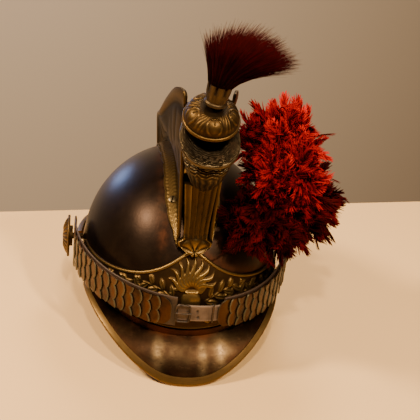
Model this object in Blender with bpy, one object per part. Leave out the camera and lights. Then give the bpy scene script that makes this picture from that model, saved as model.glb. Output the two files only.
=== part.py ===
"""Cavalry helmet of the 1870s with brass crest, horsehair tuft and feather plume.

Metres, +Z up. The front looks along -Y and the wearer's right is -X. The helmet stands on the
edge of its visor and the edge of its neck guard. It is modelled about the skull's axis with the
table at z = 0, and an empty then moves the whole assembly so that the origin is at the bottom
centre of its bounding box.
"""
import math

import bmesh
import bpy
import numpy as np
from mathutils import Vector

# Skull
SKULL_HALF_WIDTH = 0.095
SKULL_HALF_LENGTH = 0.115
DOME_HEIGHT = 0.104
BROW_HEIGHT = 0.053
SKULL_WALL = 0.0012
EDGE_HEIGHT = 0.033
EDGE_SIDE_RISE = 0.014

# Visor and neck guard
SHEET_THICKNESS = 0.0012
FLANGE_HEIGHT = 0.006
VISOR_REACH = 0.031
VISOR_STANDOFF = -0.001
VISOR_CENTRE = 0.028
VISOR_SPAN = 80.0
VISOR_RISE = 0.044
NECK_REACH = 0.050
NECK_STANDOFF = 0.006
NECK_CENTRE = 0.022
NECK_SPAN = 80.0
NECK_RISE = 0.043
RIM_REST_DEPTH = 0.003
SHEET_BULGE = 0.003
BINDING_ARM = 0.0065
BINDING_WALL = 0.0009
BINDING_NOSE = 0.0020
RIM_LIFT = 0.0018

# Front plate
PLATE_SPAN = 78.0
PLATE_THICKNESS = 0.0010
PLATE_SIDE_HEIGHT = 0.070
PLATE_PEAK_RISE = 0.042
PLATE_PEAK_WIDTH = 24.0
PLATE_RIB_WIDTH = 0.0030
PLATE_RIB_HEIGHT = 0.0011
GRENADE_HEIGHT = 0.070
GRENADE_RADIUS = 0.0100
FLAME_ROOT_HEIGHT = 0.081
FLAME_LENGTH = 0.023
FLAME_WIDTH = 0.0032
LEAF_WIDTH = 0.0062
RELIEF_DEPTH = 0.0018

# Crest
CREST_WALL = 0.0012
CREST_RIM_DEPTH = 0.0016
CREST_HEIGHT = 0.256
CREST_TOP_HALF_WIDTH = 0.030
CREST_NECK_HALF_WIDTH = 0.0125
CREST_FLANGE_HALF_WIDTH = 0.0250
COLUMN_HALF_WIDTH = 0.0125
COLUMN_DEPTH = 0.010
COLUMN_FOOT_HEIGHT = 0.109
FLUTE_DEPTH = 0.0016
COVER_THICKNESS = 0.0012
SCREW_RADIUS = 0.0036
SCREW_HEIGHT = 0.0014

# Hood, dome, tuft and its holder
HOOD_HALF_WIDTH = 0.0230
HOOD_REACH = 0.0458
HOOD_LIP_HEIGHT = 0.214
HOOD_CHIN_HEIGHT = 0.178
HOOD_WALL = 0.0016
HOOD_TILT = 25.0
DOME_RADIUS = 0.0235
DOME_RISE = 0.012
DOME_BAND = 0.003
DOME_WALL = 0.0018
DOME_SEAT_WIDTH = 0.0072
ROUNDELS = 5
ROUNDEL_DEPTH = 0.0006
DOME_REACH = 0.0158
DOME_CENTRE_Z = 0.240
HOLDER_FOOT_RADIUS = 0.0085
HOLDER_TOP_RADIUS = 0.0100
HOLDER_LENGTH = 0.019
HOLDER_WALL = 0.0012
HOLDER_LEAN = 7.0
TUFT_LENGTH = 0.056
TUFT_SPREAD = 0.034
TUFT_SWEEP = 0.036
TUFT_LOCKS = 15
TUFT_LOCK_WIDTH = 0.015
TUFT_LOCK_DEPTH = 0.011

# Plume and its socket
SOCKET_BORE_RADIUS = 0.0046
SOCKET_WALL = 0.0014
SOCKET_LENGTH = 0.028
SOCKET_LIP = 0.0012
SOCKET_BASE_HEIGHT = 0.092
SOCKET_Y = 0.002
PLUME_HEIGHT = 0.200
PLUME_REACH = 0.132
PLUME_LOCK_LENGTH = 0.026
PLUME_LOCK_WIDTH = 0.011
PLUME_LOCK_THICKNESS = 0.005
PLUME_LOCK_COUNTS = (14, 13, 9, 0, 6)
PLUME_CLEARANCE = 0.003

# Chin strap
STRAP_OFFSET = 0.0065
STRAP_THICKNESS = 0.0020
STRAP_WIDTH = 0.027
STRAP_FLARE = 0.006
STRAP_HEIGHT = 0.062
STRAP_END_RISE = 0.007
STRAP_SLANT = 0.0030
STRAP_END_ANGLE = 86.0
SCALES_PER_SIDE = 14
SCALE_FIRST_ANGLE = 20.5
SCALE_LAST_ANGLE = 84.0
SCALE_THICKNESS = 0.0009
SCALE_RISE = 0.0015
SCALE_LOBE = 0.38
END_PLATE_INNER_ANGLE = 13.5
STRAP_SHIFT = 4.0
TAB_START_ANGLE = -6.5
TAB_WIDTH = 0.016
BUCKLE_WIDTH = 0.008
BUCKLE_HEIGHT = 0.019
BUCKLE_WIRE = 0.0020
KEEPER_WIRE = 0.0011
BOSS_RADIUS = 0.0205
BOSS_DEPTH = 0.0070
BOSS_POST_RADIUS = 0.0030
BOSS_HEIGHT = 0.065

# Clearances between touching pieces, the merge distance in a union, and the turn from one lock
# to the next that spreads them evenly
SEAT_GAP = 0.0007
CREST_SEAT_GAP = 0.0009
FIT_GAP = 0.0004
MERGE_DISTANCE = 0.000004
GOLDEN_TURN = math.pi * (3.0 - math.sqrt(5.0))

# Crest stations: base angle over the skull in degrees, then the top's place forward of the axis
# as a share of the skull's half length, the top's height as a share of the crest height, and the
# flange, neck and top half-widths as shares of their named sizes.
CREST_STATIONS = (
    (34, 0.800, 1.000, 0.55, 1.00, 0.67),
    (50, 0.626, 0.984, 0.88, 0.97, 0.80),
    (66, 0.391, 0.906, 0.98, 0.93, 0.93),
    (82, 0.130, 0.812, 0.96, 0.90, 1.00),
    (98, -0.174, 0.750, 1.00, 0.90, 0.93),
    (116, -0.452, 0.680, 0.96, 0.90, 0.83),
    (134, -0.713, 0.586, 0.88, 0.88, 0.70),
    (152, -0.904, 0.473, 0.77, 0.80, 0.57),
    (168, -1.026, 0.328, 0.60, 0.68, 0.43),
)

# Rows up a crest side: share of the height, share of the way from neck to top half-width and
# share of the rim depth that the outer face stands proud.
CREST_ROWS = (
    (0.10, 0.02, 0.6),
    (0.20, 0.10, 0.0),
    (0.50, 0.45, 0.0),
    (0.84, 0.90, 0.0),
    (0.88, 0.93, 1.0),
    (1.00, 1.00, 1.0),
)

# Hood rows from the mouth down: front place and half-width as shares of the hood's own, the
# slope towards the back as a share of the mouth's, and height as a share from chin to lip.
HOOD_ROWS = (
    (0.920, 0.72, 1.00, 1.195),
    (0.957, 0.87, 0.92, 1.125),
    (0.980, 0.95, 0.84, 1.070),
    (1.000, 1.00, 0.74, 1.000),
    (0.993, 0.98, 0.66, 0.900),
    (0.955, 0.85, 0.60, 0.860),
    (0.950, 0.83, 0.45, 0.690),
    (0.928, 0.68, 0.25, 0.420),
    (0.880, 0.46, 0.08, 0.170),
    (0.820, 0.20, 0.00, 0.000),
)

# Leaves of the front plate: angle round the skull, height over the plate's lower edge as a share
# of the grenade height, direction in degrees and length as a share of the flame length.
LEAVES = (
    (16, 0.90, 75, 0.70),
    (20, 1.12, 60, 0.78),
    (24, 0.91, 48, 0.74),
    (28, 1.10, 25, 0.70),
    (33, 0.92, 35, 0.66),
    (38, 1.06, 10, 0.60),
    (43, 0.93, 18, 0.60),
    (50, 0.98, 8, 0.55),
)

# Core lobes of the plume: x, y and z centres, then radii, as shares of the reach sideways and of
# the height. A negative y is forward.
PLUME_LOBES = (
    (0.620, -0.240, 0.920, 0.270, 0.230, 0.170),
    (0.790, -0.325, 0.645, 0.235, 0.250, 0.175),
    (0.500, -0.585, 0.615, 0.250, 0.170, 0.130),
    (0.710, -0.110, 0.790, 0.150, 0.150, 0.135),
    (0.650, -0.470, 0.790, 0.220, 0.180, 0.170),
)


def remove_default_objects():
    for thing in list(bpy.data.objects):
        bpy.data.objects.remove(thing, do_unlink=True)


def material(name, colour, metallic, roughness):
    """A plain finish with the given base colour."""
    made = bpy.data.materials.new(name)
    made.use_nodes = True
    shader = made.node_tree.nodes["Principled BSDF"]
    shader.inputs["Base Color"].default_value = (*colour, 1.0)
    shader.inputs["Metallic"].default_value = metallic
    shader.inputs["Roughness"].default_value = roughness
    return made


def closed_mesh(name, points, faces):
    """A mesh of the points and faces with its faces turned outwards."""
    mesh = bpy.data.meshes.new(name)
    mesh.from_pydata([tuple(p) for p in points], [], faces)
    work = bmesh.new()
    work.from_mesh(mesh)
    bmesh.ops.recalc_face_normals(work, faces=work.faces)
    bmesh.ops.triangulate(work, faces=work.faces)
    work.to_mesh(mesh)
    work.free()
    return mesh


def place(name, mesh, finish, holder):
    """An object for the mesh with its finish, carried by the holder."""
    thing = bpy.data.objects.new(name, mesh)
    bpy.context.scene.collection.objects.link(thing)
    mesh.materials.clear()
    mesh.materials.append(finish)
    thing.parent = holder
    return thing


def sheet_mesh(name, outer, inner):
    """Closed wall between two open grids of points of the same rows and columns."""
    rows, columns = outer.shape[:2]
    points = np.concatenate([outer.reshape(-1, 3), inner.reshape(-1, 3)])
    shift = rows * columns
    faces = []
    for i in range(rows - 1):
        for j in range(columns - 1):
            a = i * columns + j
            quad = (a, a + 1, a + columns + 1, a + columns)
            faces.append(quad)
            faces.append(tuple(shift + k for k in reversed(quad)))
    border = [j for j in range(columns)]
    border += [i * columns + columns - 1 for i in range(1, rows)]
    border += [(rows - 1) * columns + j for j in range(columns - 2, -1, -1)]
    border += [i * columns for i in range(rows - 2, 0, -1)]
    for a, b in zip(border, border[1:] + border[:1]):
        faces.append((b, a, a + shift, b + shift))
    return closed_mesh(name, points, faces)


def loop_mesh(name, loops, start_cap=True, end_cap=True):
    """Closed body through rings of points, with flat or pointed caps."""
    count = len(loops[0])
    points = [p for loop in loops for p in loop]
    faces = []
    for i in range(len(loops) - 1):
        for j in range(count):
            k = (j + 1) % count
            faces.append((i * count + j, i * count + k, (i + 1) * count + k, (i + 1) * count + j))
    if start_cap:
        faces.append(tuple(range(count - 1, -1, -1)))
    if end_cap:
        faces.append(tuple((len(loops) - 1) * count + j for j in range(count)))
    return closed_mesh(name, points, faces)


def ring_mesh(name, loops):
    """Closed body through rings of points that joins its last ring to its first."""
    count = len(loops[0])
    points = [p for loop in loops for p in loop]
    faces = []
    for i in range(len(loops)):
        n = (i + 1) % len(loops)
        for j in range(count):
            k = (j + 1) % count
            faces.append((i * count + j, i * count + k, n * count + k, n * count + j))
    return closed_mesh(name, points, faces)


def turned_mesh(name, profile, sides, centre, axis):
    """Body turned about the axis through the centre. The profile holds radius and height."""
    axis = Vector(axis).normalized()
    across = axis.orthogonal().normalized()
    along = axis.cross(across)
    points = []
    rings = []
    for radius, height in profile:
        foot = Vector(centre) + axis * height
        if radius == 0.0:
            rings.append([len(points)])
            points.append(foot)
            continue
        ring = []
        for k in range(sides):
            turn = 2 * math.pi * k / sides
            ring.append(len(points))
            points.append(foot + across * (radius * math.cos(turn)) + along * (radius * math.sin(turn)))
        rings.append(ring)
    faces = []
    for low, high in zip(rings, rings[1:]):
        for k in range(sides):
            n = (k + 1) % sides
            if len(low) == 1:
                faces.append((low[0], high[n], high[k]))
            elif len(high) == 1:
                faces.append((low[k], low[n], high[0]))
            else:
                faces.append((low[k], low[n], high[n], high[k]))
    for ring in (rings[0], rings[-1]):
        if len(ring) > 1:
            faces.append(tuple(ring))
    return closed_mesh(name, points, faces)


def clean_union(mesh):
    """Merges the hair-thin faces of a union and keeps its main body."""
    work = bmesh.new()
    work.from_mesh(mesh)
    bmesh.ops.triangulate(work, faces=work.faces)
    bmesh.ops.remove_doubles(work, verts=work.verts, dist=MERGE_DISTANCE)
    bmesh.ops.dissolve_degenerate(work, dist=MERGE_DISTANCE, edges=work.edges)
    islands = []
    unseen = set(work.faces)
    while unseen:
        stack = [unseen.pop()]
        island = []
        while stack:
            face = stack.pop()
            island.append(face)
            for edge in face.edges:
                for other in edge.link_faces:
                    if other in unseen:
                        unseen.remove(other)
                        stack.append(other)
        islands.append(island)
    islands.sort(key=len, reverse=True)
    crumbs = [face for island in islands[1:] for face in island]
    bmesh.ops.delete(work, geom=crumbs, context="FACES")
    bmesh.ops.triangulate(work, faces=work.faces)
    work.to_mesh(mesh)
    work.free()


def fuse(name, body_mesh, added_meshes):
    """Union of the body and the added closed meshes, as one mesh."""
    body = bpy.data.objects.new(name + "_body", body_mesh)
    group = bpy.data.collections.new(name + "_group")
    bpy.context.scene.collection.objects.link(body)
    for mesh in added_meshes:
        group.objects.link(bpy.data.objects.new(mesh.name, mesh))
    bpy.context.scene.collection.children.link(group)
    union = body.modifiers.new("Union", "BOOLEAN")
    union.operation = "UNION"
    union.operand_type = "COLLECTION"
    union.collection = group
    union.solver = "EXACT"
    bpy.context.view_layer.update()
    shaped = body.evaluated_get(bpy.context.evaluated_depsgraph_get())
    mesh = bpy.data.meshes.new_from_object(shaped)
    for thing in [body, *group.objects]:
        bpy.data.objects.remove(thing, do_unlink=True)
    bpy.data.collections.remove(group)
    clean_union(mesh)
    mesh.name = name
    return mesh


def on_skull(angle, height, offset):
    """Point at the given offset outside the skull, by angle from the front and by height."""
    turn = math.radians(angle)
    share = 0.0
    if height > BROW_HEIGHT:
        share = min((height - BROW_HEIGHT) / (DOME_HEIGHT + offset), 1.0)
    reach = math.sqrt(1.0 - share * share)
    x = (SKULL_HALF_WIDTH + offset) * reach * math.sin(turn)
    y = -(SKULL_HALF_LENGTH + offset) * reach * math.cos(turn)
    return np.array((x, y, height))


def on_ridge(x, base_angle, offset):
    """Point outside the skull beside its middle line, by angle up from the front."""
    turn = math.radians(base_angle)
    share = x / (SKULL_HALF_WIDTH + offset)
    reach = math.sqrt(1.0 - share * share)
    y = -(SKULL_HALF_LENGTH + offset) * reach * math.cos(turn)
    z = BROW_HEIGHT + (DOME_HEIGHT + offset) * reach * math.sin(turn)
    return np.array((x, y, z))


def edge_height(angle):
    """Height of the skull's lower edge, lowest at the front and at the back."""
    return EDGE_HEIGHT + EDGE_SIDE_RISE * math.sin(math.radians(angle)) ** 2


def make_skull(finish, holder):
    """Hollow dome with an upright band under its widest level."""
    sides = 36
    tilts = (0, 14, 28, 42, 56, 69, 81)

    def shell(offset):
        rows = [[], []]
        for k in range(sides):
            angle = 360.0 * k / sides
            rows[0].append(on_skull(angle, edge_height(angle), offset))
            rows[1].append(on_skull(angle, BROW_HEIGHT, offset))
        for tilt in tilts[1:]:
            height = BROW_HEIGHT + (DOME_HEIGHT + offset) * math.sin(math.radians(tilt))
            rows.append([on_skull(360.0 * k / sides, height, offset) for k in range(sides)])
        return rows

    outer = shell(0.0)
    inner = shell(-SKULL_WALL)
    loops = inner[::-1] + outer
    points = [p for loop in loops for p in loop]
    faces = []
    for i in range(len(loops) - 1):
        for j in range(sides):
            k = (j + 1) % sides
            faces.append((i * sides + j, i * sides + k, (i + 1) * sides + k, (i + 1) * sides + j))
    for loop_start, offset in ((0, -SKULL_WALL), ((len(loops) - 1) * sides, 0.0)):
        apex = len(points)
        points.append(np.array((0.0, 0.0, BROW_HEIGHT + DOME_HEIGHT + offset)))
        for j in range(sides):
            k = (j + 1) % sides
            faces.append((loop_start + j, loop_start + k, apex))
    return place("skull", closed_mesh("skull", points, faces), finish, holder)


def guard_rim(angle, front):
    """Rim point of the visor or the neck guard, at the height of its foot above the table."""
    turn = math.radians(angle)
    if front:
        half_width = SKULL_HALF_WIDTH + VISOR_STANDOFF
        half_length = SKULL_HALF_LENGTH + VISOR_REACH - VISOR_CENTRE
        centre, rise, way = VISOR_CENTRE, VISOR_RISE, -1.0
    else:
        half_width = SKULL_HALF_WIDTH + NECK_STANDOFF
        half_length = SKULL_HALF_LENGTH + NECK_REACH - NECK_CENTRE
        centre, rise, way = NECK_CENTRE, NECK_RISE, 1.0
    sweep = math.radians(min(1.15 * abs(angle), 90.0))
    height = max(0.0, rise * math.sin(sweep) ** 1.7 - RIM_REST_DEPTH)
    return np.array((half_width * math.sin(turn), way * (centre + half_length * math.cos(turn)), height))


def make_guard(name, front, finish, edge_finish, holder):
    """Sloping sheet with a flange on the skull, and the folded brass binding on its edge."""
    span = VISOR_SPAN if front else NECK_SPAN
    stations = 20
    shares = (0.28, 0.62, 1.0)
    outer = [[] for _ in range(2 + len(shares))]
    inner = [[] for _ in range(2 + len(shares))]
    binding = []
    half = SHEET_THICKNESS / 2
    for k in range(stations + 1):
        angle = span * (2.0 * k / stations - 1.0)
        wall_angle = angle * 0.87 if front else 180.0 - angle * 0.87
        low = edge_height(wall_angle)
        outside = SEAT_GAP + SHEET_THICKNESS
        outer[0].append(on_skull(wall_angle, low + FLANGE_HEIGHT, outside))
        inner[0].append(on_skull(wall_angle, low + FLANGE_HEIGHT, SEAT_GAP))
        outer[1].append(on_skull(wall_angle, low, outside))
        inner[1].append(on_skull(wall_angle, low - 0.7 * SHEET_THICKNESS, SEAT_GAP))
        foot = guard_rim(angle, front)
        rim = foot + np.array((0.0, 0.0, RIM_LIFT))
        root = (outer[1][-1] + inner[1][-1]) / 2
        flat_way = rim - root
        flat_way[2] = 0.0
        run = np.linalg.norm(flat_way)
        flat_way = flat_way / run
        drop = root[2] - rim[2]
        slope = math.atan2(drop, run)
        arch = flat_way * math.sin(slope) + np.array((0.0, 0.0, math.cos(slope)))
        height = SHEET_BULGE * min(1.0, run / VISOR_REACH) ** 2
        middles = []
        for share in shares:
            swell = 4.0 * share * (1.0 - share) * height
            middles.append(root + (rim - root) * share + arch * swell)
        outward = rim - middles[-2]
        outward = outward / np.linalg.norm(outward)
        normal = flat_way * -outward[2] + np.array((0.0, 0.0, float(outward @ flat_way)))
        for row, middle in enumerate(middles):
            outer[2 + row].append(middle + normal * half)
            inner[2 + row].append(middle - normal * half)
        slot = half + FIT_GAP
        arm = slot + BINDING_WALL
        across = (
            (-BINDING_ARM, arm), (0.4 * BINDING_NOSE, arm), (BINDING_NOSE, 0.3 * arm),
            None, None,
            (-BINDING_ARM, -arm), (-BINDING_ARM, -slot), (FIT_GAP, -slot), (FIT_GAP, slot),
            (-BINDING_ARM, slot),
        )
        ring = [rim + outward * p[0] + normal * p[1] if p else None for p in across]
        ring[3] = foot + flat_way * BINDING_NOSE
        ring[4] = foot.copy()
        binding.append(ring)
    sheet = sheet_mesh(name, np.array(outer), np.array(inner))
    edge = loop_mesh(name + "_binding", binding)
    place(name, sheet, finish, holder)
    place(name + "_binding", edge, edge_finish, holder)


def plate_top(angle):
    """Upper edge of the front plate, with its peak under the palmette."""
    return PLATE_SIDE_HEIGHT + PLATE_PEAK_RISE / (1.0 + (abs(angle) / PLATE_PEAK_WIDTH) ** 1.6)


def skull_patch(angle, height, way, forward, side, offset):
    """Point on the front plate, by steps along and across a direction in its surface."""
    turn = math.radians(way)
    up = forward * math.sin(turn) + side * math.cos(turn)
    along = forward * math.cos(turn) - side * math.sin(turn)
    radius = (SKULL_HALF_WIDTH + SKULL_HALF_LENGTH) / 2
    return on_skull(angle + math.degrees(along / radius), height + up, offset)


def blade_mesh(name, angle, height, way, length, width, bend, stations, start=0.0, sink=0.0):
    """Raised leaf or flame with a ridge, set into the front plate."""
    base = SEAT_GAP + PLATE_THICKNESS * (0.5 - sink)
    skin = SEAT_GAP + PLATE_THICKNESS
    top = SEAT_GAP + PLATE_THICKNESS + RELIEF_DEPTH
    loops = []
    for share, wide in stations:
        sway = bend * width * math.sin(2.0 * math.pi * share)
        half = width * wide / 2
        step = start + length * share
        ridge = skin + (top - skin) * wide
        loops.append([
            skull_patch(angle, height, way, step, sway - half, base),
            skull_patch(angle, height, way, step, sway, ridge),
            skull_patch(angle, height, way, step, sway + half, base),
        ])
    return loop_mesh(name, loops)


def make_front_plate(finish, holder):
    """Brow plate with rolled upper edge, flaming grenade and laurel leaves."""
    columns = 24
    flame_stations = ((0.0, 0.22), (0.38, 0.95), (0.72, 0.75), (1.0, 0.12))
    leaf_stations = ((0.0, 0.30), (0.45, 1.0), (1.0, 0.12))
    low = SEAT_GAP
    high = SEAT_GAP + PLATE_THICKNESS
    outer = [[] for _ in range(7)]
    inner = [[] for _ in range(7)]
    for k in range(columns + 1):
        angle = PLATE_SPAN * (2.0 * k / columns - 1.0)
        bottom = edge_height(angle) + FLANGE_HEIGHT + SEAT_GAP * 2
        top = plate_top(angle)
        field = top - PLATE_RIB_WIDTH * 1.3
        heights = [bottom + (field - bottom) * share for share in (0.0, 0.36, 0.70, 1.0)]
        heights += [top - PLATE_RIB_WIDTH, top - 0.35 * PLATE_RIB_WIDTH, top]
        raised = (0.0, 0.0, 0.0, 0.0, 1.0, 1.0, 0.0)
        for row, height in enumerate(heights):
            outer[row].append(on_skull(angle, height, high + raised[row] * PLATE_RIB_HEIGHT))
            inner[row].append(on_skull(angle, height, low))
    body = sheet_mesh("front_plate", np.array(outer), np.array(inner))
    added = []
    flames = 11
    for k in range(flames):
        way = 12.0 + (180.0 - 24.0) * k / (flames - 1)
        length = FLAME_LENGTH * (0.76 + 0.10 * math.cos(math.pi * k))
        added.append(blade_mesh("flame", 0.0, FLAME_ROOT_HEIGHT, way, length, FLAME_WIDTH, 0.3,
                                flame_stations, 1.3 * FLAME_WIDTH, 0.02 * (k % 4)))
    for side in (-1, 1):
        for k, (angle, share, way, length) in enumerate(LEAVES):
            direction = way if side > 0 else 180.0 - way
            height = GRENADE_HEIGHT * share
            added.append(blade_mesh(
                "leaf", side * angle, height, direction, FLAME_LENGTH * length, LEAF_WIDTH, 0.0,
                leaf_stations, 0.0, 0.03 * (k % 3)))
    centre = on_skull(0.0, GRENADE_HEIGHT, SEAT_GAP + PLATE_THICKNESS * 0.3)
    ball = [(GRENADE_RADIUS, 0.0), (GRENADE_RADIUS, 0.3 * RELIEF_DEPTH),
            (0.86 * GRENADE_RADIUS, 0.9 * RELIEF_DEPTH), (0.5 * GRENADE_RADIUS, 1.5 * RELIEF_DEPTH),
            (0.0, 1.8 * RELIEF_DEPTH)]
    lean = (0.0, -1.0, 0.18)
    added.append(turned_mesh("grenade", ball, 12, centre, lean))
    neck_height = FLAME_ROOT_HEIGHT - FLAME_WIDTH / 2
    added.append(blade_mesh("grenade_neck", -3.2, neck_height, 0.0, 1.16 * GRENADE_RADIUS, FLAME_WIDTH, 0.0,
                            leaf_stations))
    return place("front_plate", fuse("front_plate", body, added), finish, holder)


def crest_stations():
    """The crest's stations with one more between each two, on a smooth curve through them."""
    table = np.array(CREST_STATIONS)
    last = len(table) - 1
    fine = []
    for step in range(2 * last + 1):
        low = min(step // 2, last - 1)
        part = step / 2 - low
        before, start, end, after = (table[min(max(low + k, 0), last)] for k in (-1, 0, 1, 2))
        curve = 0.5 * (2 * start + (end - before) * part
                       + (2 * before - 5 * start + 4 * end - after) * part ** 2
                       + (3 * start - before - 3 * end + after) * part ** 3)
        fine.append(curve)
    return fine


def crest_point(station, share, width_share, side, outset):
    """Point of a crest side's wall at a share of its height."""
    angle, forward, height, _, neck, top = station
    base = on_ridge(0.0, angle, CREST_SEAT_GAP)
    x = CREST_NECK_HALF_WIDTH * neck
    x += (CREST_TOP_HALF_WIDTH * top - x) * width_share
    y = base[1] + (-SKULL_HALF_LENGTH * forward - base[1]) * share
    z = base[2] + (CREST_HEIGHT * height - base[2]) * share
    return np.array((side * (x + outset), y, z))


def make_crest_side(side, name, finish, holder):
    """One half of the crest: flange on the skull, neck, sunk panel and thick rim."""
    rows = 2 + len(CREST_ROWS)
    outer = [[] for _ in range(rows)]
    inner = [[] for _ in range(rows)]
    for station in crest_stations():
        angle, flange, neck = station[0], station[3], station[4]
        edge = side * CREST_FLANGE_HALF_WIDTH * flange
        foot = CREST_NECK_HALF_WIDTH * neck
        outside = CREST_SEAT_GAP + CREST_WALL
        outer[0].append(on_ridge(edge, angle, outside))
        inner[0].append(on_ridge(edge, angle, CREST_SEAT_GAP))
        outer[1].append(on_ridge(side * (foot + CREST_WALL), angle, outside))
        inner[1].append(on_ridge(side * foot, angle, CREST_SEAT_GAP))
        for row, (share, width_share, proud) in enumerate(CREST_ROWS):
            outset = CREST_WALL + proud * CREST_RIM_DEPTH
            outer[2 + row].append(crest_point(station, share, width_share, side, outset))
            inner[2 + row].append(crest_point(station, share, width_share, side, 0.0))
    mesh = sheet_mesh(name, np.array(outer), np.array(inner))
    return place(name, mesh, finish, holder)


def make_crest_cover(finish, holder):
    """Crowned strip that closes the top between the two crest rims."""
    share, width_share = CREST_ROWS[-2][:2]
    outer = [[], [], []]
    inner = [[], [], []]
    for station in crest_stations():
        edge = crest_point(station, share, width_share, 1, -FIT_GAP)
        for row, across in enumerate((-1.0, 0.0, 1.0)):
            crown = COVER_THICKNESS * (1.0 - abs(across))
            point = np.array((edge[0] * across, edge[1], edge[2] + crown))
            outer[row].append(point + np.array((0.0, 0.0, COVER_THICKNESS)))
            inner[row].append(point)
    mesh = sheet_mesh("crest_cover", np.array(outer), np.array(inner))
    return place("crest_cover", mesh, finish, holder)


def crest_front(height):
    """Y of the crest sides' front edges at a height."""
    low = crest_point(CREST_STATIONS[0], 0.0, 0.0, 1, 0.0)
    high = crest_point(CREST_STATIONS[0], 1.0, 0.0, 1, 0.0)
    return low[1] + (high[1] - low[1]) * (height - low[2]) / (high[2] - low[2])


def make_crest_column(finish, holder):
    """Fluted column up the crest front, spread at its foot into a palmette."""
    top = HOOD_CHIN_HEIGHT - SEAT_GAP
    flutes = 5
    per_flute = 3
    count = flutes * per_flute
    levels = (0.0, 0.05, 0.12, 0.17, 0.22, 0.45, 0.75, 1.0)
    widths = (0.12, 0.62, 1.18, 1.24, 0.84, 0.86, 1.0, 1.12)
    depths = (0.30, 0.45, 0.55, 0.60, 0.60, 0.85, 1.00, 1.05)
    loops = []
    for level, wide, deep in zip(levels, widths, depths):
        height = COLUMN_FOOT_HEIGHT + (top - COLUMN_FOOT_HEIGHT) * level
        plate_face = on_skull(0.0, height, SEAT_GAP + PLATE_THICKNESS + PLATE_RIB_HEIGHT + SEAT_GAP)[1]
        back = crest_front(height) - FIT_GAP
        if height < plate_top(0.0) + SEAT_GAP * 6:
            back = min(plate_face, back)
        ring = []
        for k in range(count + 1):
            across = 2.0 * k / count - 1.0
            flute = FLUTE_DEPTH * abs(math.sin(math.pi * flutes * k / count)) * min(1.0, wide)
            round_face = COLUMN_DEPTH * deep * (0.55 + 0.45 * math.sqrt(max(0.0, 1.0 - across * across)))
            ring.append(np.array((COLUMN_HALF_WIDTH * wide * across, back - round_face + flute, height)))
        ring.append(np.array((COLUMN_HALF_WIDTH * wide, back, height)))
        ring.append(np.array((-COLUMN_HALF_WIDTH * wide, back, height)))
        loops.append(ring)
    return place("crest_column", loop_mesh("crest_column", loops), finish, holder)


def hood_front():
    """Distance of the hood's foremost line ahead of the axis, from the crest's front edge."""
    return HOOD_REACH - crest_front(HOOD_CHIN_HEIGHT)


def dome_centre():
    """Middle of the dome's under side, ahead of the crest's front edge."""
    return Vector((0.0, crest_front(HOOD_CHIN_HEIGHT) - DOME_REACH, DOME_CENTRE_Z))


def hood_ring(row, inset, sides=20):
    """Ring of the hood with a rounded front and a flatter back, sloped up to the dome."""
    front_share, width_share, tilt_share, height_share = row
    seat_y = crest_front(HOOD_CHIN_HEIGHT) - FIT_GAP
    mouth_share, mouth_height = HOOD_ROWS[0][0], HOOD_ROWS[0][3]
    mouth = HOOD_CHIN_HEIGHT + (HOOD_LIP_HEIGHT - HOOD_CHIN_HEIGHT) * mouth_height
    dome_under = DOME_CENTRE_Z + math.tan(math.radians(HOOD_TILT)) * (seat_y - dome_centre().y)
    mouth_slope = (dome_under - 0.8 * SEAT_GAP - mouth) / (seat_y + hood_front() * mouth_share)
    front = hood_front() * front_share - inset
    back = -seat_y + inset
    wide = HOOD_HALF_WIDTH * width_share - inset
    base = HOOD_CHIN_HEIGHT + (HOOD_LIP_HEIGHT - HOOD_CHIN_HEIGHT) * height_share
    slope = mouth_slope * tilt_share
    middle = (front + back) / 2
    depth = (front - back) / 2
    ring = []
    for k in range(sides):
        turn = 2.0 * math.pi * k / sides
        ahead = math.cos(turn)
        if ahead < 0.0:
            ahead = -abs(ahead) ** 0.7
        x = wide * math.copysign(abs(math.sin(turn)) ** 0.85, math.sin(turn))
        y = -(middle + depth * ahead)
        ring.append(np.array((x, y, base + slope * (y + front))))
    return ring


def make_crest_hood(finish, holder):
    """Hollow hood at the crest front with an open mouth, a lip and waisted bands."""
    outer = [hood_ring(row, 0.0) for row in HOOD_ROWS]
    inner = [hood_ring(HOOD_ROWS[row], HOOD_WALL) for row in (0, 3, 5, 7)]
    floor = [p + np.array((0.0, 0.0, HOOD_WALL)) for p in hood_ring(HOOD_ROWS[-2], HOOD_WALL * 1.8)]
    loops = outer[::-1] + inner + [floor]
    return place("crest_hood", loop_mesh("crest_hood", loops), finish, holder)


def dome_axis():
    tilt = math.radians(HOOD_TILT)
    return Vector((0.0, -math.sin(tilt), math.cos(tilt)))


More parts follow.
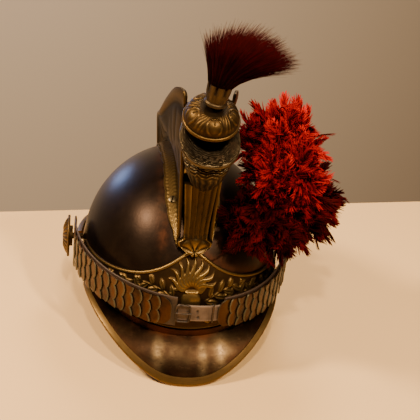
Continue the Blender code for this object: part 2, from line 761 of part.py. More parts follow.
def make_crest_dome(finish, holder):
    """Domed base with a rim band and five roundels, hollow over a flat ring that seats on the hood."""
    flat = HOLDER_FOOT_RADIUS * 1.15
    profile = [(0.0, DOME_BAND + DOME_RISE), (flat, DOME_BAND + DOME_RISE)]
    for share in (0.45, 0.8, 1.0):
        turn = share * math.pi / 2
        radius = flat + (DOME_RADIUS * 0.94 - flat) * math.sin(turn)
        profile.append((radius, DOME_BAND + DOME_RISE * math.cos(turn)))
    seat = DOME_RADIUS - DOME_SEAT_WIDTH
    profile += [(DOME_RADIUS, DOME_BAND), (DOME_RADIUS, 0.0), (seat, 0.0), (seat, DOME_BAND - DOME_WALL)]
    for share in (1.0, 0.5):
        turn = share * math.pi / 2
        radius = flat + (DOME_RADIUS * 0.94 - flat) * math.sin(turn) - DOME_WALL
        profile.append((radius, DOME_BAND + DOME_RISE * math.cos(turn) - DOME_WALL))
    profile.append((0.0, DOME_BAND + DOME_RISE - DOME_WALL))
    centre = dome_centre()
    axis = dome_axis()
    body = turned_mesh("crest_dome", profile, 20, centre, axis)
    for vertex in body.vertices:
        place_on = vertex.co - centre
        height = place_on.dot(axis)
        across = place_on - axis * height
        if not flat * 1.1 < across.length < DOME_RADIUS * 0.9:
            continue
        turn = math.atan2(across.x, -across.y)
        swell = ROUNDEL_DEPTH * math.cos(ROUNDELS * turn)
        vertex.co += (across.normalized() + axis).normalized() * swell
    return place("crest_dome", body, finish, holder)


def holder_axis():
    """Axis of the tuft holder: upright from the dome and leaning to the wearer's left."""
    lean = math.radians(HOLDER_LEAN)
    return Vector((math.sin(lean), -math.sin(lean) * 1.2, math.cos(lean))).normalized()


def holder_foot():
    apex = dome_centre() + dome_axis() * (DOME_BAND + DOME_RISE)
    spread = HOLDER_FOOT_RADIUS * dome_axis().angle(holder_axis())
    return apex + holder_axis() * (spread + FIT_GAP)


def make_tuft_holder(finish, holder):
    """Leafed cup that grips the tuft."""
    bore_foot = HOLDER_FOOT_RADIUS - HOLDER_WALL
    bore_top = HOLDER_TOP_RADIUS - HOLDER_WALL
    profile = [
        (0.0, 0.0), (HOLDER_FOOT_RADIUS, 0.0), (HOLDER_FOOT_RADIUS * 1.08, 0.06 * HOLDER_LENGTH),
        (HOLDER_FOOT_RADIUS * 0.96, 0.14 * HOLDER_LENGTH), (HOLDER_TOP_RADIUS * 1.04, 0.60 * HOLDER_LENGTH),
        (HOLDER_TOP_RADIUS, HOLDER_LENGTH), (bore_top, HOLDER_LENGTH),
        (bore_foot, 0.25 * HOLDER_LENGTH), (0.0, 0.25 * HOLDER_LENGTH),
    ]
    mesh = turned_mesh("tuft_holder", profile, 12, holder_foot(), holder_axis())
    return place("tuft_holder", mesh, finish, holder)


def lock_mesh(root, way, droop, length, width, thickness, twist=0.0):
    """Points and faces of a tapered lock with a diamond section that bends from its first way."""
    way = Vector(way).normalized()
    droop = Vector(droop)
    across = way.cross(Vector((0.0, 0.0, 1.0)))
    if across.length < 0.2:
        across = way.cross(Vector((0.0, 1.0, 0.0)))
    across.normalize()
    lift = across.cross(way)
    turn = math.radians(twist)
    wide = across * math.cos(turn) + lift * math.sin(turn)
    thin = lift * math.cos(turn) - across * math.sin(turn)
    points = []
    for share, size in ((0.0, 0.8), (0.5, 1.0), (0.85, 0.6)):
        centre = Vector(root) + way * (length * share) + droop * (length * share * share)
        points += [centre + wide * (width * size / 2), centre + thin * (thickness * size / 2),
                   centre - wide * (width * size / 2), centre - thin * (thickness * size / 2)]
    points.append(Vector(root) + way * length + droop * length)
    faces = [(3, 2, 1, 0)]
    for ring in (0, 4):
        for k in range(4):
            n = (k + 1) % 4
            faces.append((ring + k, ring + n, ring + 4 + n, ring + 4 + k))
    for k in range(4):
        faces.append((8 + k, 8 + (k + 1) % 4, 12))
    return points, faces


def make_tuft(finish, holder):
    """Horsehair tuft: a root in the cup and a fan of locks that sweeps to the wearer's left."""
    axis = holder_axis()
    foot = holder_foot() + axis * (0.25 * HOLDER_LENGTH + FIT_GAP)
    bore = HOLDER_FOOT_RADIUS - HOLDER_WALL - FIT_GAP
    top = HOLDER_LENGTH * 0.75
    side = Vector((1.0, 0.0, 0.0))
    sides = 12
    across = axis.cross(Vector((0.0, 1.0, 0.0))).normalized()
    along = axis.cross(across)
    loops = []
    stages = ((0.0, 1.0, 0.0, 0.0), (top, 1.04, 0.0, 0.0), (top + 0.14 * TUFT_LENGTH, 1.30, 0.03, 0.05),
              (top + 0.38 * TUFT_LENGTH, 1.85, 0.18, 0.28), (top + 0.62 * TUFT_LENGTH, 2.25, 0.38, 0.50),
              (top + 0.74 * TUFT_LENGTH, 1.55, 0.44, 0.56))
    for height, wide, sweep, spread in stages:
        centre = foot + axis * height + side * (TUFT_SWEEP * sweep)
        ring = []
        for k in range(sides):
            turn = 2.0 * math.pi * k / sides
            x_reach = bore * wide + TUFT_SPREAD * spread * 0.30
            y_reach = bore * wide * 0.92
            ring.append(centre + across * (x_reach * math.cos(turn)) + along * (y_reach * math.sin(turn)))
        loops.append(ring)
    body = loop_mesh("tuft", loops)
    locks = []
    heart = foot + axis * (top + 0.16 * TUFT_LENGTH)
    for k in range(TUFT_LOCKS):
        share = (k + 0.5) / TUFT_LOCKS
        turn = k * GOLDEN_TURN
        radius = math.sqrt(share)
        lean = 0.34 + 0.92 * radius * math.cos(turn)
        depth = 0.50 * radius * math.sin(turn)
        way = axis + side * lean + Vector((0.0, 1.0, 0.0)) * depth
        length = TUFT_LENGTH * (0.84 - 0.06 * radius) / math.sqrt(1.0 + lean * lean + depth * depth) ** 0.7
        droop = (0.10 * max(lean, 0.0), 0.0, -0.03)
        points, faces = lock_mesh(heart, way, droop, length, TUFT_LOCK_WIDTH, TUFT_LOCK_DEPTH, 40.0 * k)
        locks.append(closed_mesh("lock", points, faces))
    return place("tuft", fuse("tuft", body, locks), finish, holder)


def socket_centre_x():
    """Middle of the socket, whose foot meets the skull's flat facets inside its curve."""
    return on_skull(90.0, SOCKET_BASE_HEIGHT, 0.0)[0] + SOCKET_BORE_RADIUS + SOCKET_WALL


def make_plume_socket(finish, holder):
    """Plain upright tube on the wearer's left side that takes the plume's stem."""
    outside = SOCKET_BORE_RADIUS + SOCKET_WALL
    floor = SOCKET_WALL * 1.5
    lip = outside + SOCKET_LIP
    lip_foot = SOCKET_LENGTH - 2.5 * SOCKET_LIP
    profile = [(0.0, 0.0), (outside, 0.0), (outside, lip_foot), (lip, lip_foot), (lip, SOCKET_LENGTH),
               (SOCKET_BORE_RADIUS, SOCKET_LENGTH), (SOCKET_BORE_RADIUS, floor), (0.0, floor)]
    centre = (socket_centre_x(), SOCKET_Y, SOCKET_BASE_HEIGHT)
    mesh = turned_mesh("plume_socket", profile, 12, centre, (0.0, 0.0, 1.0))
    return place("plume_socket", mesh, finish, holder)


def keep_off_helmet(point, margin):
    """The point, moved out if it lies closer than the margin to the skull or what hangs on it."""
    x, y, z = point
    if z < BROW_HEIGHT + 0.036:
        margin = margin + BOSS_DEPTH + STRAP_OFFSET + 0.012
    wide = SKULL_HALF_WIDTH + margin
    long = SKULL_HALF_LENGTH + margin
    tall = DOME_HEIGHT + margin
    rise = max(0.0, z - BROW_HEIGHT)
    measure = math.sqrt((x / wide) ** 2 + (y / long) ** 2 + (rise / tall) ** 2)
    if measure >= 1.0:
        return Vector((x, y, z))
    grow = 1.0 / max(measure, 0.3)
    return Vector((x * grow, y * grow, BROW_HEIGHT + rise * grow if rise > 0.0 else z))


def lobe_mesh(name, centre, radii, margin):
    """Egg-shaped lobe kept clear of the skull."""
    sides = 10
    rows = 5
    loops = []
    for i in range(1, rows):
        tilt = math.pi * i / rows
        ring = []
        for k in range(sides):
            turn = 2.0 * math.pi * k / sides
            point = (centre[0] + radii[0] * math.sin(tilt) * math.cos(turn),
                     centre[1] + radii[1] * math.sin(tilt) * math.sin(turn),
                     centre[2] + radii[2] * math.cos(tilt))
            ring.append(keep_off_helmet(point, margin))
        loops.append(ring)
    return loop_mesh(name, loops)


def make_plume(finish, holder):
    """Cut-feather plume: a stem in the socket and lobes covered with drooping locks."""
    rng = np.random.default_rng(11)
    lobes = []
    for x, y, z, rx, ry, rz in PLUME_LOBES:
        centre = (PLUME_REACH * x, PLUME_REACH * y, PLUME_HEIGHT * z)
        radii = (PLUME_REACH * rx, PLUME_REACH * ry, PLUME_HEIGHT * rz)
        lobes.append((centre, radii))
    meshes = [lobe_mesh("lobe", centre, radii, PLUME_CLEARANCE * (2.0 + 0.3 * k))
              for k, (centre, radii) in enumerate(lobes)]
    stem_low = SOCKET_BASE_HEIGHT + SOCKET_WALL * 1.5 + FIT_GAP
    stem_high = lobes[3][0][2]
    stem_radius = SOCKET_BORE_RADIUS - FIT_GAP
    stem_length = stem_high - stem_low
    stem = [(0.0, 0.0), (stem_radius, 0.0), (stem_radius, stem_length), (0.0, stem_length)]
    meshes.append(turned_mesh("stem", stem, 10, (socket_centre_x(), SOCKET_Y, stem_low), (0.0, 0.0, 1.0)))
    for (centre, radii), count in zip(lobes, PLUME_LOCK_COUNTS):
        for k in range(count):
            share = (k + 0.5) / count
            up = 1.0 - 2.0 * share
            turn = k * GOLDEN_TURN + 0.4
            flat = math.sqrt(1.0 - up * up)
            out = Vector((flat * math.cos(turn), flat * math.sin(turn), up))
            if out.x < -0.55 and out.z < 0.4:
                continue
            root = Vector((centre[0] + radii[0] * out.x * 0.75, centre[1] + radii[1] * out.y * 0.75,
                           centre[2] + radii[2] * out.z * 0.75))
            length = PLUME_LOCK_LENGTH * float(rng.uniform(0.8, 1.1))
            droop = (0.0, 0.0, -0.35)
            twist = float(rng.uniform(-60.0, 60.0))
            way = out + Vector((0.2, 0.0, 0.0))
            points, faces = lock_mesh(root, way, droop, length, PLUME_LOCK_WIDTH, PLUME_LOCK_THICKNESS, twist)
            if all(keep_off_helmet(p, PLUME_CLEARANCE) == Vector(p) for p in points):
                meshes.append(closed_mesh("lock", points, faces))
    return place("plume", fuse("plume", meshes[0], meshes[1:]), finish, holder)


def strap_middle(angle):
    """Height of the strap's middle line: higher at the bosses and slung lower on one side."""
    share = abs(angle) / 90.0
    slant = -STRAP_SLANT * math.sin(math.radians(2.0 * angle))
    return STRAP_HEIGHT + STRAP_END_RISE * share ** 3 + slant


def strap_width(angle):
    return STRAP_WIDTH + STRAP_FLARE * abs(angle) / 90.0


def strap_point(angle, across, offset, width=None):
    """Point of the strap, with across running from -1 at its lower to 1 at its upper edge."""
    wide = strap_width(angle) if width is None else width
    turn = math.radians(angle)
    x = (SKULL_HALF_WIDTH + offset) * math.sin(turn)
    y = -(SKULL_HALF_LENGTH + offset) * math.cos(turn)
    return np.array((x, y, strap_middle(angle) + across * wide / 2))


def make_strap_band(name, start, end, width, finish, holder):
    """Band of leather that follows the helmet between two angles."""
    steps = max(4, int(abs(end - start) / 6.0))
    outer = [[], []]
    inner = [[], []]
    for k in range(steps + 1):
        angle = start + (end - start) * k / steps
        for row, across in enumerate((-1.0, 1.0)):
            outer[row].append(strap_point(angle, across, STRAP_OFFSET + STRAP_THICKNESS, width))
            inner[row].append(strap_point(angle, across, STRAP_OFFSET, width))
    mesh = sheet_mesh(name, np.array(outer), np.array(inner))
    return place(name, mesh, finish, holder)


def side_angle(side, angle):
    """Angle of a strap piece: the right side reaches further to the front by the strap's shift."""
    return side * angle + (STRAP_SHIFT if side < 0 else 0.0)


def scale_pitch():
    return (SCALE_LAST_ANGLE - SCALE_FIRST_ANGLE) / SCALES_PER_SIDE


def make_scale(name, side, index, finish, holder):
    """Brass scale whose lobed edge laps over the next one towards the buckle."""
    pitch = scale_pitch()
    outer_angle = SCALE_FIRST_ANGLE + pitch * (index + 1)
    two_lobes = index % 2 == 0
    rows = 7
    seat = STRAP_OFFSET + STRAP_THICKNESS + FIT_GAP
    outer = [[], []]
    inner = [[], []]
    for k in range(rows):
        share = k / (rows - 1)
        wave = abs(math.sin(2.0 * math.pi * share)) if two_lobes else abs(math.cos(2.0 * math.pi * share))
        lobe = 1.0 + SCALE_LOBE * wave ** 0.6 * 0.98
        across = 2.0 * share - 1.0
        for column, reach in enumerate((0.03, lobe)):
            angle = side_angle(side, outer_angle - pitch * reach)
            lift = seat + SCALE_RISE * reach
            outer[column].append(strap_point(angle, across, lift + SCALE_THICKNESS))
            inner[column].append(strap_point(angle, across, lift))
    mesh = sheet_mesh(name, np.array(outer), np.array(inner))
    return place(name, mesh, finish, holder)


def make_end_plate(name, side, finish, holder):
    """Last plate of a strap side, with a rounded free end."""
    seat = STRAP_OFFSET + STRAP_THICKNESS + FIT_GAP
    rows = 9
    outer = [[], [], []]
    inner = [[], [], []]
    for k in range(rows):
        share = k / (rows - 1)
        across = 2.0 * share - 1.0
        tip = END_PLATE_INNER_ANGLE + (SCALE_FIRST_ANGLE - END_PLATE_INNER_ANGLE) * 0.55 * across ** 4
        start = SCALE_FIRST_ANGLE - 0.03 * scale_pitch()
        for column, angle in enumerate((start, (start + tip) / 2, tip)):
            lift = seat + SCALE_RISE * 0.12 * column
            outer[column].append(strap_point(side_angle(side, angle), across, lift + SCALE_THICKNESS))
            inner[column].append(strap_point(side_angle(side, angle), across, lift))
    mesh = sheet_mesh(name, np.array(outer), np.array(inner))
    return place(name, mesh, finish, holder)


def frame_loop(name, angle, half_span, half_height, wire, offset, finish, holder):
    """Flat rectangular frame lying on the strap."""
    radius = SKULL_HALF_LENGTH + offset
    loops = []
    for grow_u, grow_v in ((-1, -1), (1, -1), (1, 1), (-1, 1)):
        ring = []
        for inset, lift in ((0.0, 0.0), (wire, 0.0), (wire, wire), (0.0, wire)):
            step = math.degrees(grow_u * (half_span - inset) / radius)
            reach = grow_v * (half_height - inset)
            point = strap_point(angle + step, 0.0, offset + lift)
            level = strap_middle(angle) - strap_middle(angle + step)
            ring.append(point + np.array((0.0, 0.0, reach + level)))
        loops.append(ring)
    return place(name, ring_mesh(name, loops), finish, holder)


def make_keeper(name, angle, finish, holder):
    """Thin loop round the leather tab."""
    wire = KEEPER_WIRE
    gap = FIT_GAP
    low = STRAP_OFFSET - gap
    high = STRAP_OFFSET + STRAP_THICKNESS + gap
    half = TAB_WIDTH / 2 + gap
    radius = SKULL_HALF_LENGTH + STRAP_OFFSET
    step = math.degrees(wire / radius)
    corners = ((-half, low, -1, -1), (half, low, 1, -1), (half, high, 1, 1), (-half, high, -1, 1))
    loops = []
    for reach, offset, way, out in corners:
        ring = []
        for side_step, grow in ((-1, 0), (1, 0), (1, 1), (-1, 1)):
            turn = angle + side_step * step / 2
            point = strap_point(turn, 0.0, offset + out * grow * wire)
            ring.append(point + np.array((0.0, 0.0, reach + way * grow * wire)))
        loops.append(ring)
    return place(name, ring_mesh(name, loops), finish, holder)


def make_boss(name, side, finish, holder):
    """Turned brass boss that holds a strap end, with a post to the skull's flat facets."""
    wall = on_skull(90.0, BOSS_HEIGHT, 0.0)[0]
    strap_face = SKULL_HALF_WIDTH + STRAP_OFFSET + STRAP_THICKNESS + FIT_GAP
    strap_face += SCALE_RISE * (1.0 + SCALE_LOBE) + SCALE_THICKNESS + FIT_GAP
    back = strap_face - wall
    profile = [(0.0, 0.0), (BOSS_POST_RADIUS, 0.0), (BOSS_POST_RADIUS, back), (0.96 * BOSS_RADIUS, back),
               (BOSS_RADIUS, back + 0.12 * BOSS_DEPTH), (0.97 * BOSS_RADIUS, back + 0.34 * BOSS_DEPTH),
               (0.84 * BOSS_RADIUS, back + 0.36 * BOSS_DEPTH), (0.66 * BOSS_RADIUS, back + 0.70 * BOSS_DEPTH),
               (0.36 * BOSS_RADIUS, back + 0.94 * BOSS_DEPTH), (0.0, back + BOSS_DEPTH)]
    centre = (side * wall, 0.0, BOSS_HEIGHT)
    mesh = turned_mesh(name, profile, 18, centre, (side, 0.0, 0.0))
    return place(name, mesh, finish, holder)


def make_screw(name, side, first, finish, holder):
    """Slotted screw head on the crest flange between two stations."""
    low = CREST_STATIONS[first]
    high = CREST_STATIONS[first + 1]
    angle = (low[0] + high[0]) / 2
    flange = CREST_FLANGE_HALF_WIDTH * (low[3] + high[3]) / 2
    neck = CREST_NECK_HALF_WIDTH * (low[4] + high[4]) / 2 + CREST_WALL
    x = side * (flange + neck) / 2
    outside = CREST_SEAT_GAP + CREST_WALL
    seat = Vector(on_ridge(x, angle, outside))
    normal = Vector((seat.x / SKULL_HALF_WIDTH ** 2, seat.y / SKULL_HALF_LENGTH ** 2,
                     (seat.z - BROW_HEIGHT) / DOME_HEIGHT ** 2)).normalized()
    profile = [(0.0, FIT_GAP), (SCREW_RADIUS, FIT_GAP), (SCREW_RADIUS, FIT_GAP + 0.6 * SCREW_HEIGHT),
               (0.0, FIT_GAP + SCREW_HEIGHT)]
    return place(name, turned_mesh(name, profile, 10, seat, normal), finish, holder)


def build():
    remove_default_objects()
    steel = material("tarnished_steel", (0.13, 0.085, 0.07), 0.9, 0.4)
    bright_steel = material("visor_steel", (0.30, 0.22, 0.17), 0.9, 0.35)
    brass = material("aged_brass", (0.33, 0.20, 0.07), 0.9, 0.4)
    dark_brass = material("dark_brass", (0.22, 0.15, 0.07), 0.9, 0.5)
    red_brass = material("red_brass", (0.30, 0.13, 0.05), 0.8, 0.45)
    leather = material("worn_leather", (0.32, 0.25, 0.22), 0.0, 0.7)
    iron = material("dark_iron", (0.10, 0.09, 0.08), 0.8, 0.5)
    horsehair = material("red_horsehair", (0.10, 0.008, 0.012), 0.0, 0.6)
    feather = material("red_feather", (0.35, 0.012, 0.012), 0.0, 0.8)

    holder = bpy.data.objects.new("helmet", None)
    bpy.context.scene.collection.objects.link(holder)

    make_skull(steel, holder)
    make_guard("visor", True, bright_steel, brass, holder)
    make_guard("neck_guard", False, steel, brass, holder)
    make_front_plate(brass, holder)
    for side, hand in ((-1, "right"), (1, "left")):
        make_crest_side(side, "crest_side_" + hand, brass, holder)
        make_boss("boss_" + hand, side, brass, holder)
        make_end_plate("strap_end_" + hand, side, red_brass, holder)
        for index in range(SCALES_PER_SIDE):
            make_scale("strap_scale_%s_%02d" % (hand, index + 1), side, index, red_brass, holder)
    make_crest_cover(dark_brass, holder)
    make_crest_column(brass, holder)
    make_crest_hood(dark_brass, holder)
    make_crest_dome(brass, holder)
    for number, (side, first) in enumerate(((-1, 1), (1, 1), (-1, 5), (1, 5)), start=1):
        make_screw("crest_screw_%d" % number, side, first, dark_brass, holder)
    make_tuft_holder(dark_brass, holder)
    make_tuft(horsehair, holder)
    make_plume_socket(brass, holder)
    make_plume(feather, holder)

    leather_inner = END_PLATE_INNER_ANGLE + 3.0
    make_strap_band("strap_leather_right", -STRAP_END_ANGLE, TAB_START_ANGLE - 0.6, None, leather, holder)
    make_strap_band("strap_leather_left", leather_inner + 0.4, STRAP_END_ANGLE, None, leather, holder)
    make_strap_band("strap_tab", TAB_START_ANGLE, leather_inner, TAB_WIDTH, leather, holder)
    frame_loop("strap_buckle", TAB_START_ANGLE + 2.6, BUCKLE_WIDTH, BUCKLE_HEIGHT / 2, BUCKLE_WIRE,
               STRAP_OFFSET + STRAP_THICKNESS + FIT_GAP, iron, holder)
    make_keeper("strap_keeper", END_PLATE_INNER_ANGLE - 2.5, iron, holder)

    low = np.full(3, np.inf)
    high = np.full(3, -np.inf)
    for thing in holder.children:
        corners = np.array([tuple(v.co) for v in thing.data.vertices])
        low = np.minimum(low, corners.min(axis=0))
        high = np.maximum(high, corners.max(axis=0))
    holder.location = (-(low[0] + high[0]) / 2, -(low[1] + high[1]) / 2, -low[2])
    bpy.context.view_layer.update()


build()
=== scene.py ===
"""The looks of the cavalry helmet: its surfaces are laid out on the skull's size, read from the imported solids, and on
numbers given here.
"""
import math

import bmesh
import bpy
import numpy as np
from mathutils import Matrix, Vector


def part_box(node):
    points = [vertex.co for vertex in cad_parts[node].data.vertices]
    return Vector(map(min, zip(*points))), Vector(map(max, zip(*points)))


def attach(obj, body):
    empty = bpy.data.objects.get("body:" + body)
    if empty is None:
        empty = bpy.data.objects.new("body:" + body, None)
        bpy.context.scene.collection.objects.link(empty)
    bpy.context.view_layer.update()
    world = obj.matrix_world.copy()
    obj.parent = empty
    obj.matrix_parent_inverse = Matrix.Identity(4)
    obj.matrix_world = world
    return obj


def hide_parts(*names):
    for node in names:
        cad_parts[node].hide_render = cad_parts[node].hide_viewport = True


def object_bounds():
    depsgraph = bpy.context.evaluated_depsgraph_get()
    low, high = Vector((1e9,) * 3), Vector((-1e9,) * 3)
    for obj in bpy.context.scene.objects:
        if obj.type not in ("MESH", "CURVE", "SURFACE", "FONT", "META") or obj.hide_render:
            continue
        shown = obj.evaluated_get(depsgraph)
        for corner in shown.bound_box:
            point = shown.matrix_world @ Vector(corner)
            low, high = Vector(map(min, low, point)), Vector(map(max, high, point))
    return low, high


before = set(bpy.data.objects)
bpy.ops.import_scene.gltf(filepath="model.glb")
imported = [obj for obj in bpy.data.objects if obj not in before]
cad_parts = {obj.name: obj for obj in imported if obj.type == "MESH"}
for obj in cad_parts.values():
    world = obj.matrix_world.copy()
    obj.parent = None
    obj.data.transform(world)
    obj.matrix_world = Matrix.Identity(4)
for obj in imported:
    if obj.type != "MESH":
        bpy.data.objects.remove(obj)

CAD_BOX = [list(corner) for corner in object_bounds()]


# The skull is one raised dome of sheet steel, tarnished dark brown. It is beaten in one piece with
# an upright band under its widest level, and everything else is riveted or screwed to it.
SKULL_LOW, SKULL_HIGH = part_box("skull")
AXIS_X = (SKULL_LOW.x + SKULL_HIGH.x) / 2
AXIS_Y = (SKULL_LOW.y + SKULL_HIGH.y) / 2
HALF_WIDTH = (SKULL_HIGH.x - SKULL_LOW.x) / 2
HALF_LENGTH = (SKULL_HIGH.y - SKULL_LOW.y) / 2
BROW_HEIGHT = 0.053
DOME_HEIGHT = SKULL_HIGH.z - BROW_HEIGHT
SKULL_WALL = 0.0012
EDGE_HEIGHT = SKULL_LOW.z
EDGE_SIDE_RISE = 0.014
SKULL_DENT = 0.0003
SKULL_SCUFFS = ((-26.0, 0.074, 0.011), (-62.0, 0.060, 0.008), (-71.0, 0.066, 0.006))


class Tone:
    """A socket of a finish. Sums and products of tones add the nodes that work them out."""

    def __init__(self, finish, socket):
        self.finish = finish
        self.socket = socket

    def reckon(self, operation, *others, swapped=False):
        parts = [self, *others]
        if swapped:
            parts.reverse()
        vectors = any(isinstance(part, Tone) and part.socket.type == "VECTOR" for part in parts)
        kind = "ShaderNodeVectorMath" if vectors else "ShaderNodeMath"
        return self.finish.node(kind, {"operation": operation}, dict(enumerate(parts)))

    def __add__(self, other):
        return self.reckon("ADD", other)

    def __radd__(self, other):
        return self.reckon("ADD", other)

    def __sub__(self, other):
        return self.reckon("SUBTRACT", other)

    def __rsub__(self, other):
        return self.reckon("SUBTRACT", other, swapped=True)

    def __mul__(self, other):
        return self.reckon("MULTIPLY", other)

    def __rmul__(self, other):
        return self.reckon("MULTIPLY", other)

    def __truediv__(self, other):
        return self.reckon("DIVIDE", other)

    def __rtruediv__(self, other):
        return self.reckon("DIVIDE", other, swapped=True)

    def __pow__(self, other):
        return self.reckon("POWER", other)

    def __rpow__(self, other):
        return self.reckon("POWER", other, swapped=True)

    def __neg__(self):
        return self.reckon("MULTIPLY", -1.0)

    def between(self, low, high):
        """0 below low, 1 above high and a straight line between them."""
        sockets = {"Value": self, "From Min": low, "From Max": high}
        return self.finish.node("ShaderNodeMapRange", {"clamp": True}, sockets)


class Finish:
    """A material under way, with one method that adds any node to it."""

    def __init__(self, name, **constants):
        self.material = bpy.data.materials.new(name)
        self.material.use_nodes = True
        self.tree = self.material.node_tree
        self.shader = self.tree.nodes["Principled BSDF"]
        for socket, value in constants.items():
            self.shader.inputs[socket.replace("_", " ")].default_value = value
        self.where = self.node("ShaderNodeTexCoord", {}, {}, out="Object")

    def node(self, kind, settings, sockets, out=0):
        """Adds a node of the kind, sets it up, then gives its sockets their values or links."""
        made = self.tree.nodes.new(kind)
        for setting, value in settings.items():
            if setting == "stops":
                ramp = made.color_ramp
                while len(ramp.elements) < len(value):
                    ramp.elements.new(1.0)
                for element, (place, colour) in zip(ramp.elements, value):
                    element.position = place
                    element.color = (*colour, 1.0)
            else:
                setattr(made, setting, value)
        for name, value in sockets.items():
            self.give(made.inputs[name], value)
        return Tone(self, made.outputs[out])

    def give(self, socket, value):
        """Links a tone to the socket, or sets the socket to a number or colour."""
        if isinstance(value, Tone):
            self.tree.links.new(value.socket, socket)
        elif socket.type == "RGBA":
            socket.default_value = (*value, 1.0)
        elif socket.type == "VECTOR" and not isinstance(value, (tuple, list)):
            socket.default_value = (value, value, value)
        else:
            socket.default_value = value

    def noise(self, scale, detail=4.0, where=None, roughness=0.55, distortion=0.0):
        sockets = {"Vector": where or self.where, "Scale": scale, "Detail": detail,
                   "Roughness": roughness, "Distortion": distortion}
        return self.node("ShaderNodeTexNoise", {}, sockets)

    def mark(self, name):
        """The piece's own attribute of that name."""
        return self.node("ShaderNodeAttribute", {"attribute_name": name}, {}, out="Fac")

    def ramp(self, tone, *stops):
        return self.node("ShaderNodeValToRGB", {"stops": stops}, {"Fac": tone})

    def mix(self, share, first, second):
        """The first colour where the share is 0 and the second where it is 1."""
        settings = {"data_type": "RGBA", "clamp_factor": True}
        return self.node("ShaderNodeMix", settings, {0: share, 6: first, 7: second}, out=2)

    def stretched(self, x, y, z):
        """Object coordinates multiplied along each axis."""
        return self.where * (x, y, z)

    def bump(self, height, distance, strength=1.0):
        sockets = {"Height": height, "Distance": distance, "Strength": strength}
        self.give(self.shader.inputs["Normal"], self.node("ShaderNodeBump", {}, sockets))

    def paint(self, colour, roughness, metallic=None):
        self.give(self.shader.inputs["Base Color"], colour)
        self.give(self.shader.inputs["Roughness"], roughness)
        if metallic is not None:
            self.give(self.shader.inputs["Metallic"], metallic)
        return self.material


def put(name, points, faces, finish, nodes=(), marks=None, weld=False, sharp=40.0):
    """Puts arrays of points and faces into a mesh with its faces turned out, as a piece that rides
    on the helmet. The sign of the enclosed volume, the sum of each face's corner products, tells
    whether the faces have to be turned round."""
    points = np.asarray(points, float).reshape(-1, 3)
    halves = points[np.concatenate([faces[:, :3], faces[:, [0, 2, 3]]])]
    volume = np.einsum("ij,ij->", halves[:, 0], np.cross(halves[:, 1], halves[:, 2]))
    way = -1 if volume < 0.0 else 1
    three = faces[:, 2] == faces[:, 3]
    cells = faces[~three][:, ::way].tolist() + faces[three][:, :3][:, ::way].tolist()
    mesh = bpy.data.meshes.new(name)
    mesh.from_pydata(points.tolist(), [], cells)
    for mark, values in (marks or {}).items():
        layer = mesh.attributes.new(mark, "FLOAT", "POINT")
        layer.data.foreach_set("value", np.asarray(values, np.float32).ravel())
    if weld:
        work = bmesh.new()
        work.from_mesh(mesh)
        bmesh.ops.remove_doubles(work, verts=work.verts, dist=1e-6)
        bmesh.ops.dissolve_degenerate(work, dist=1e-7, edges=work.edges)
        work.to_mesh(mesh)
        work.free()
    mesh.shade_smooth()
    mesh.set_sharp_from_angle(angle=math.radians(sharp))
    mesh.materials.append(finish)
    piece = bpy.data.objects.new(name, mesh)
    bpy.context.scene.collection.objects.link(piece)
    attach(piece, "root")
    if nodes:
        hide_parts(*nodes)
    return piece


def unit(vectors):
    return vectors / np.linalg.norm(vectors, axis=-1, keepdims=True)


def lattice(rows, columns, around=False, ends=False):
    """Four corners of each cell of a grid of points, row by row. A grid that goes around joins its
    last column to its first, and one whose ends meet joins its last row to its first."""
    index = np.arange(rows * columns).reshape(rows, columns)
    if around:
        index = np.concatenate([index, index[:, :1]], axis=1)
    if ends:
        index = np.concatenate([index, index[:1]], axis=0)
    cells = (index[:-1, :-1], index[:-1, 1:], index[1:, 1:], index[1:, :-1])
    return np.stack([cell.ravel() for cell in cells], axis=-1)


def sheet(outer, inner):
    """Closed wall between two grids of points: both faces and a strip round their border."""
    rows, columns = outer.shape[:2]
    face = lattice(rows, columns)
    index = np.arange(rows * columns).reshape(rows, columns)
    border = np.concatenate([index[0], index[1:, -1], index[-1, -2::-1], index[-2:0:-1, 0]])
    after = np.roll(border, -1)
    shift = rows * columns
    strip = np.stack([after, border, border + shift, after + shift], axis=-1)
    points = np.concatenate([outer.reshape(-1, 3), inner.reshape(-1, 3)])
    return points, np.concatenate([face, face[:, ::-1] + shift, strip])


def tube(rings, closed=False):
    """Body through rings of points, whose ends are joined, or shut by a fan round a middle point."""
    count, around = rings.shape[:2]
    faces = lattice(count, around, around=True, ends=closed)
    points = rings.reshape(-1, 3)
    if closed:
        return points, faces
    middles = np.stack([rings[0].mean(axis=0), rings[-1].mean(axis=0)])
    near = np.arange(around)
    far = near + (count - 1) * around
    first = np.full(around, len(points))
    fan = np.stack([np.roll(near, -1), near, first, first], axis=-1)
    back = np.stack([far, np.roll(far, -1), first + 1, first + 1], axis=-1)
    return np.concatenate([points, middles]), np.concatenate([faces, fan, back])


def on_skull(angle, height, offset):
    """Point outside the skull: x = (half width + offset) k sin(angle) and
    y = -(half length + offset) k cos(angle), where k is the root of 1 less the square of the
    height's share of the dome above the brow, and 1 below the brow."""
    turn = np.radians(angle)
    share = np.clip((height - BROW_HEIGHT) / (DOME_HEIGHT + offset), 0.0, 1.0)
    reach = np.sqrt(1.0 - share ** 2)
    x = AXIS_X + (HALF_WIDTH + offset) * reach * np.sin(turn)
    y = AXIS_Y - (HALF_LENGTH + offset) * reach * np.cos(turn)
    return np.stack(np.broadcast_arrays(x, y, height), axis=-1)


def edge_height(angle):
    """Height of the skull's lower edge: its lowest value plus a rise by the sine squared."""
    return EDGE_HEIGHT + EDGE_SIDE_RISE * np.sin(np.radians(angle)) ** 2


def plate_top(angle):
    """Upper edge of the front plate: a side height plus a bell round the middle."""
    return PLATE_SIDE_HEIGHT + PLATE_PEAK_RISE / (1.0 + (np.abs(angle) / PLATE_PEAK_WIDTH) ** 1.6)


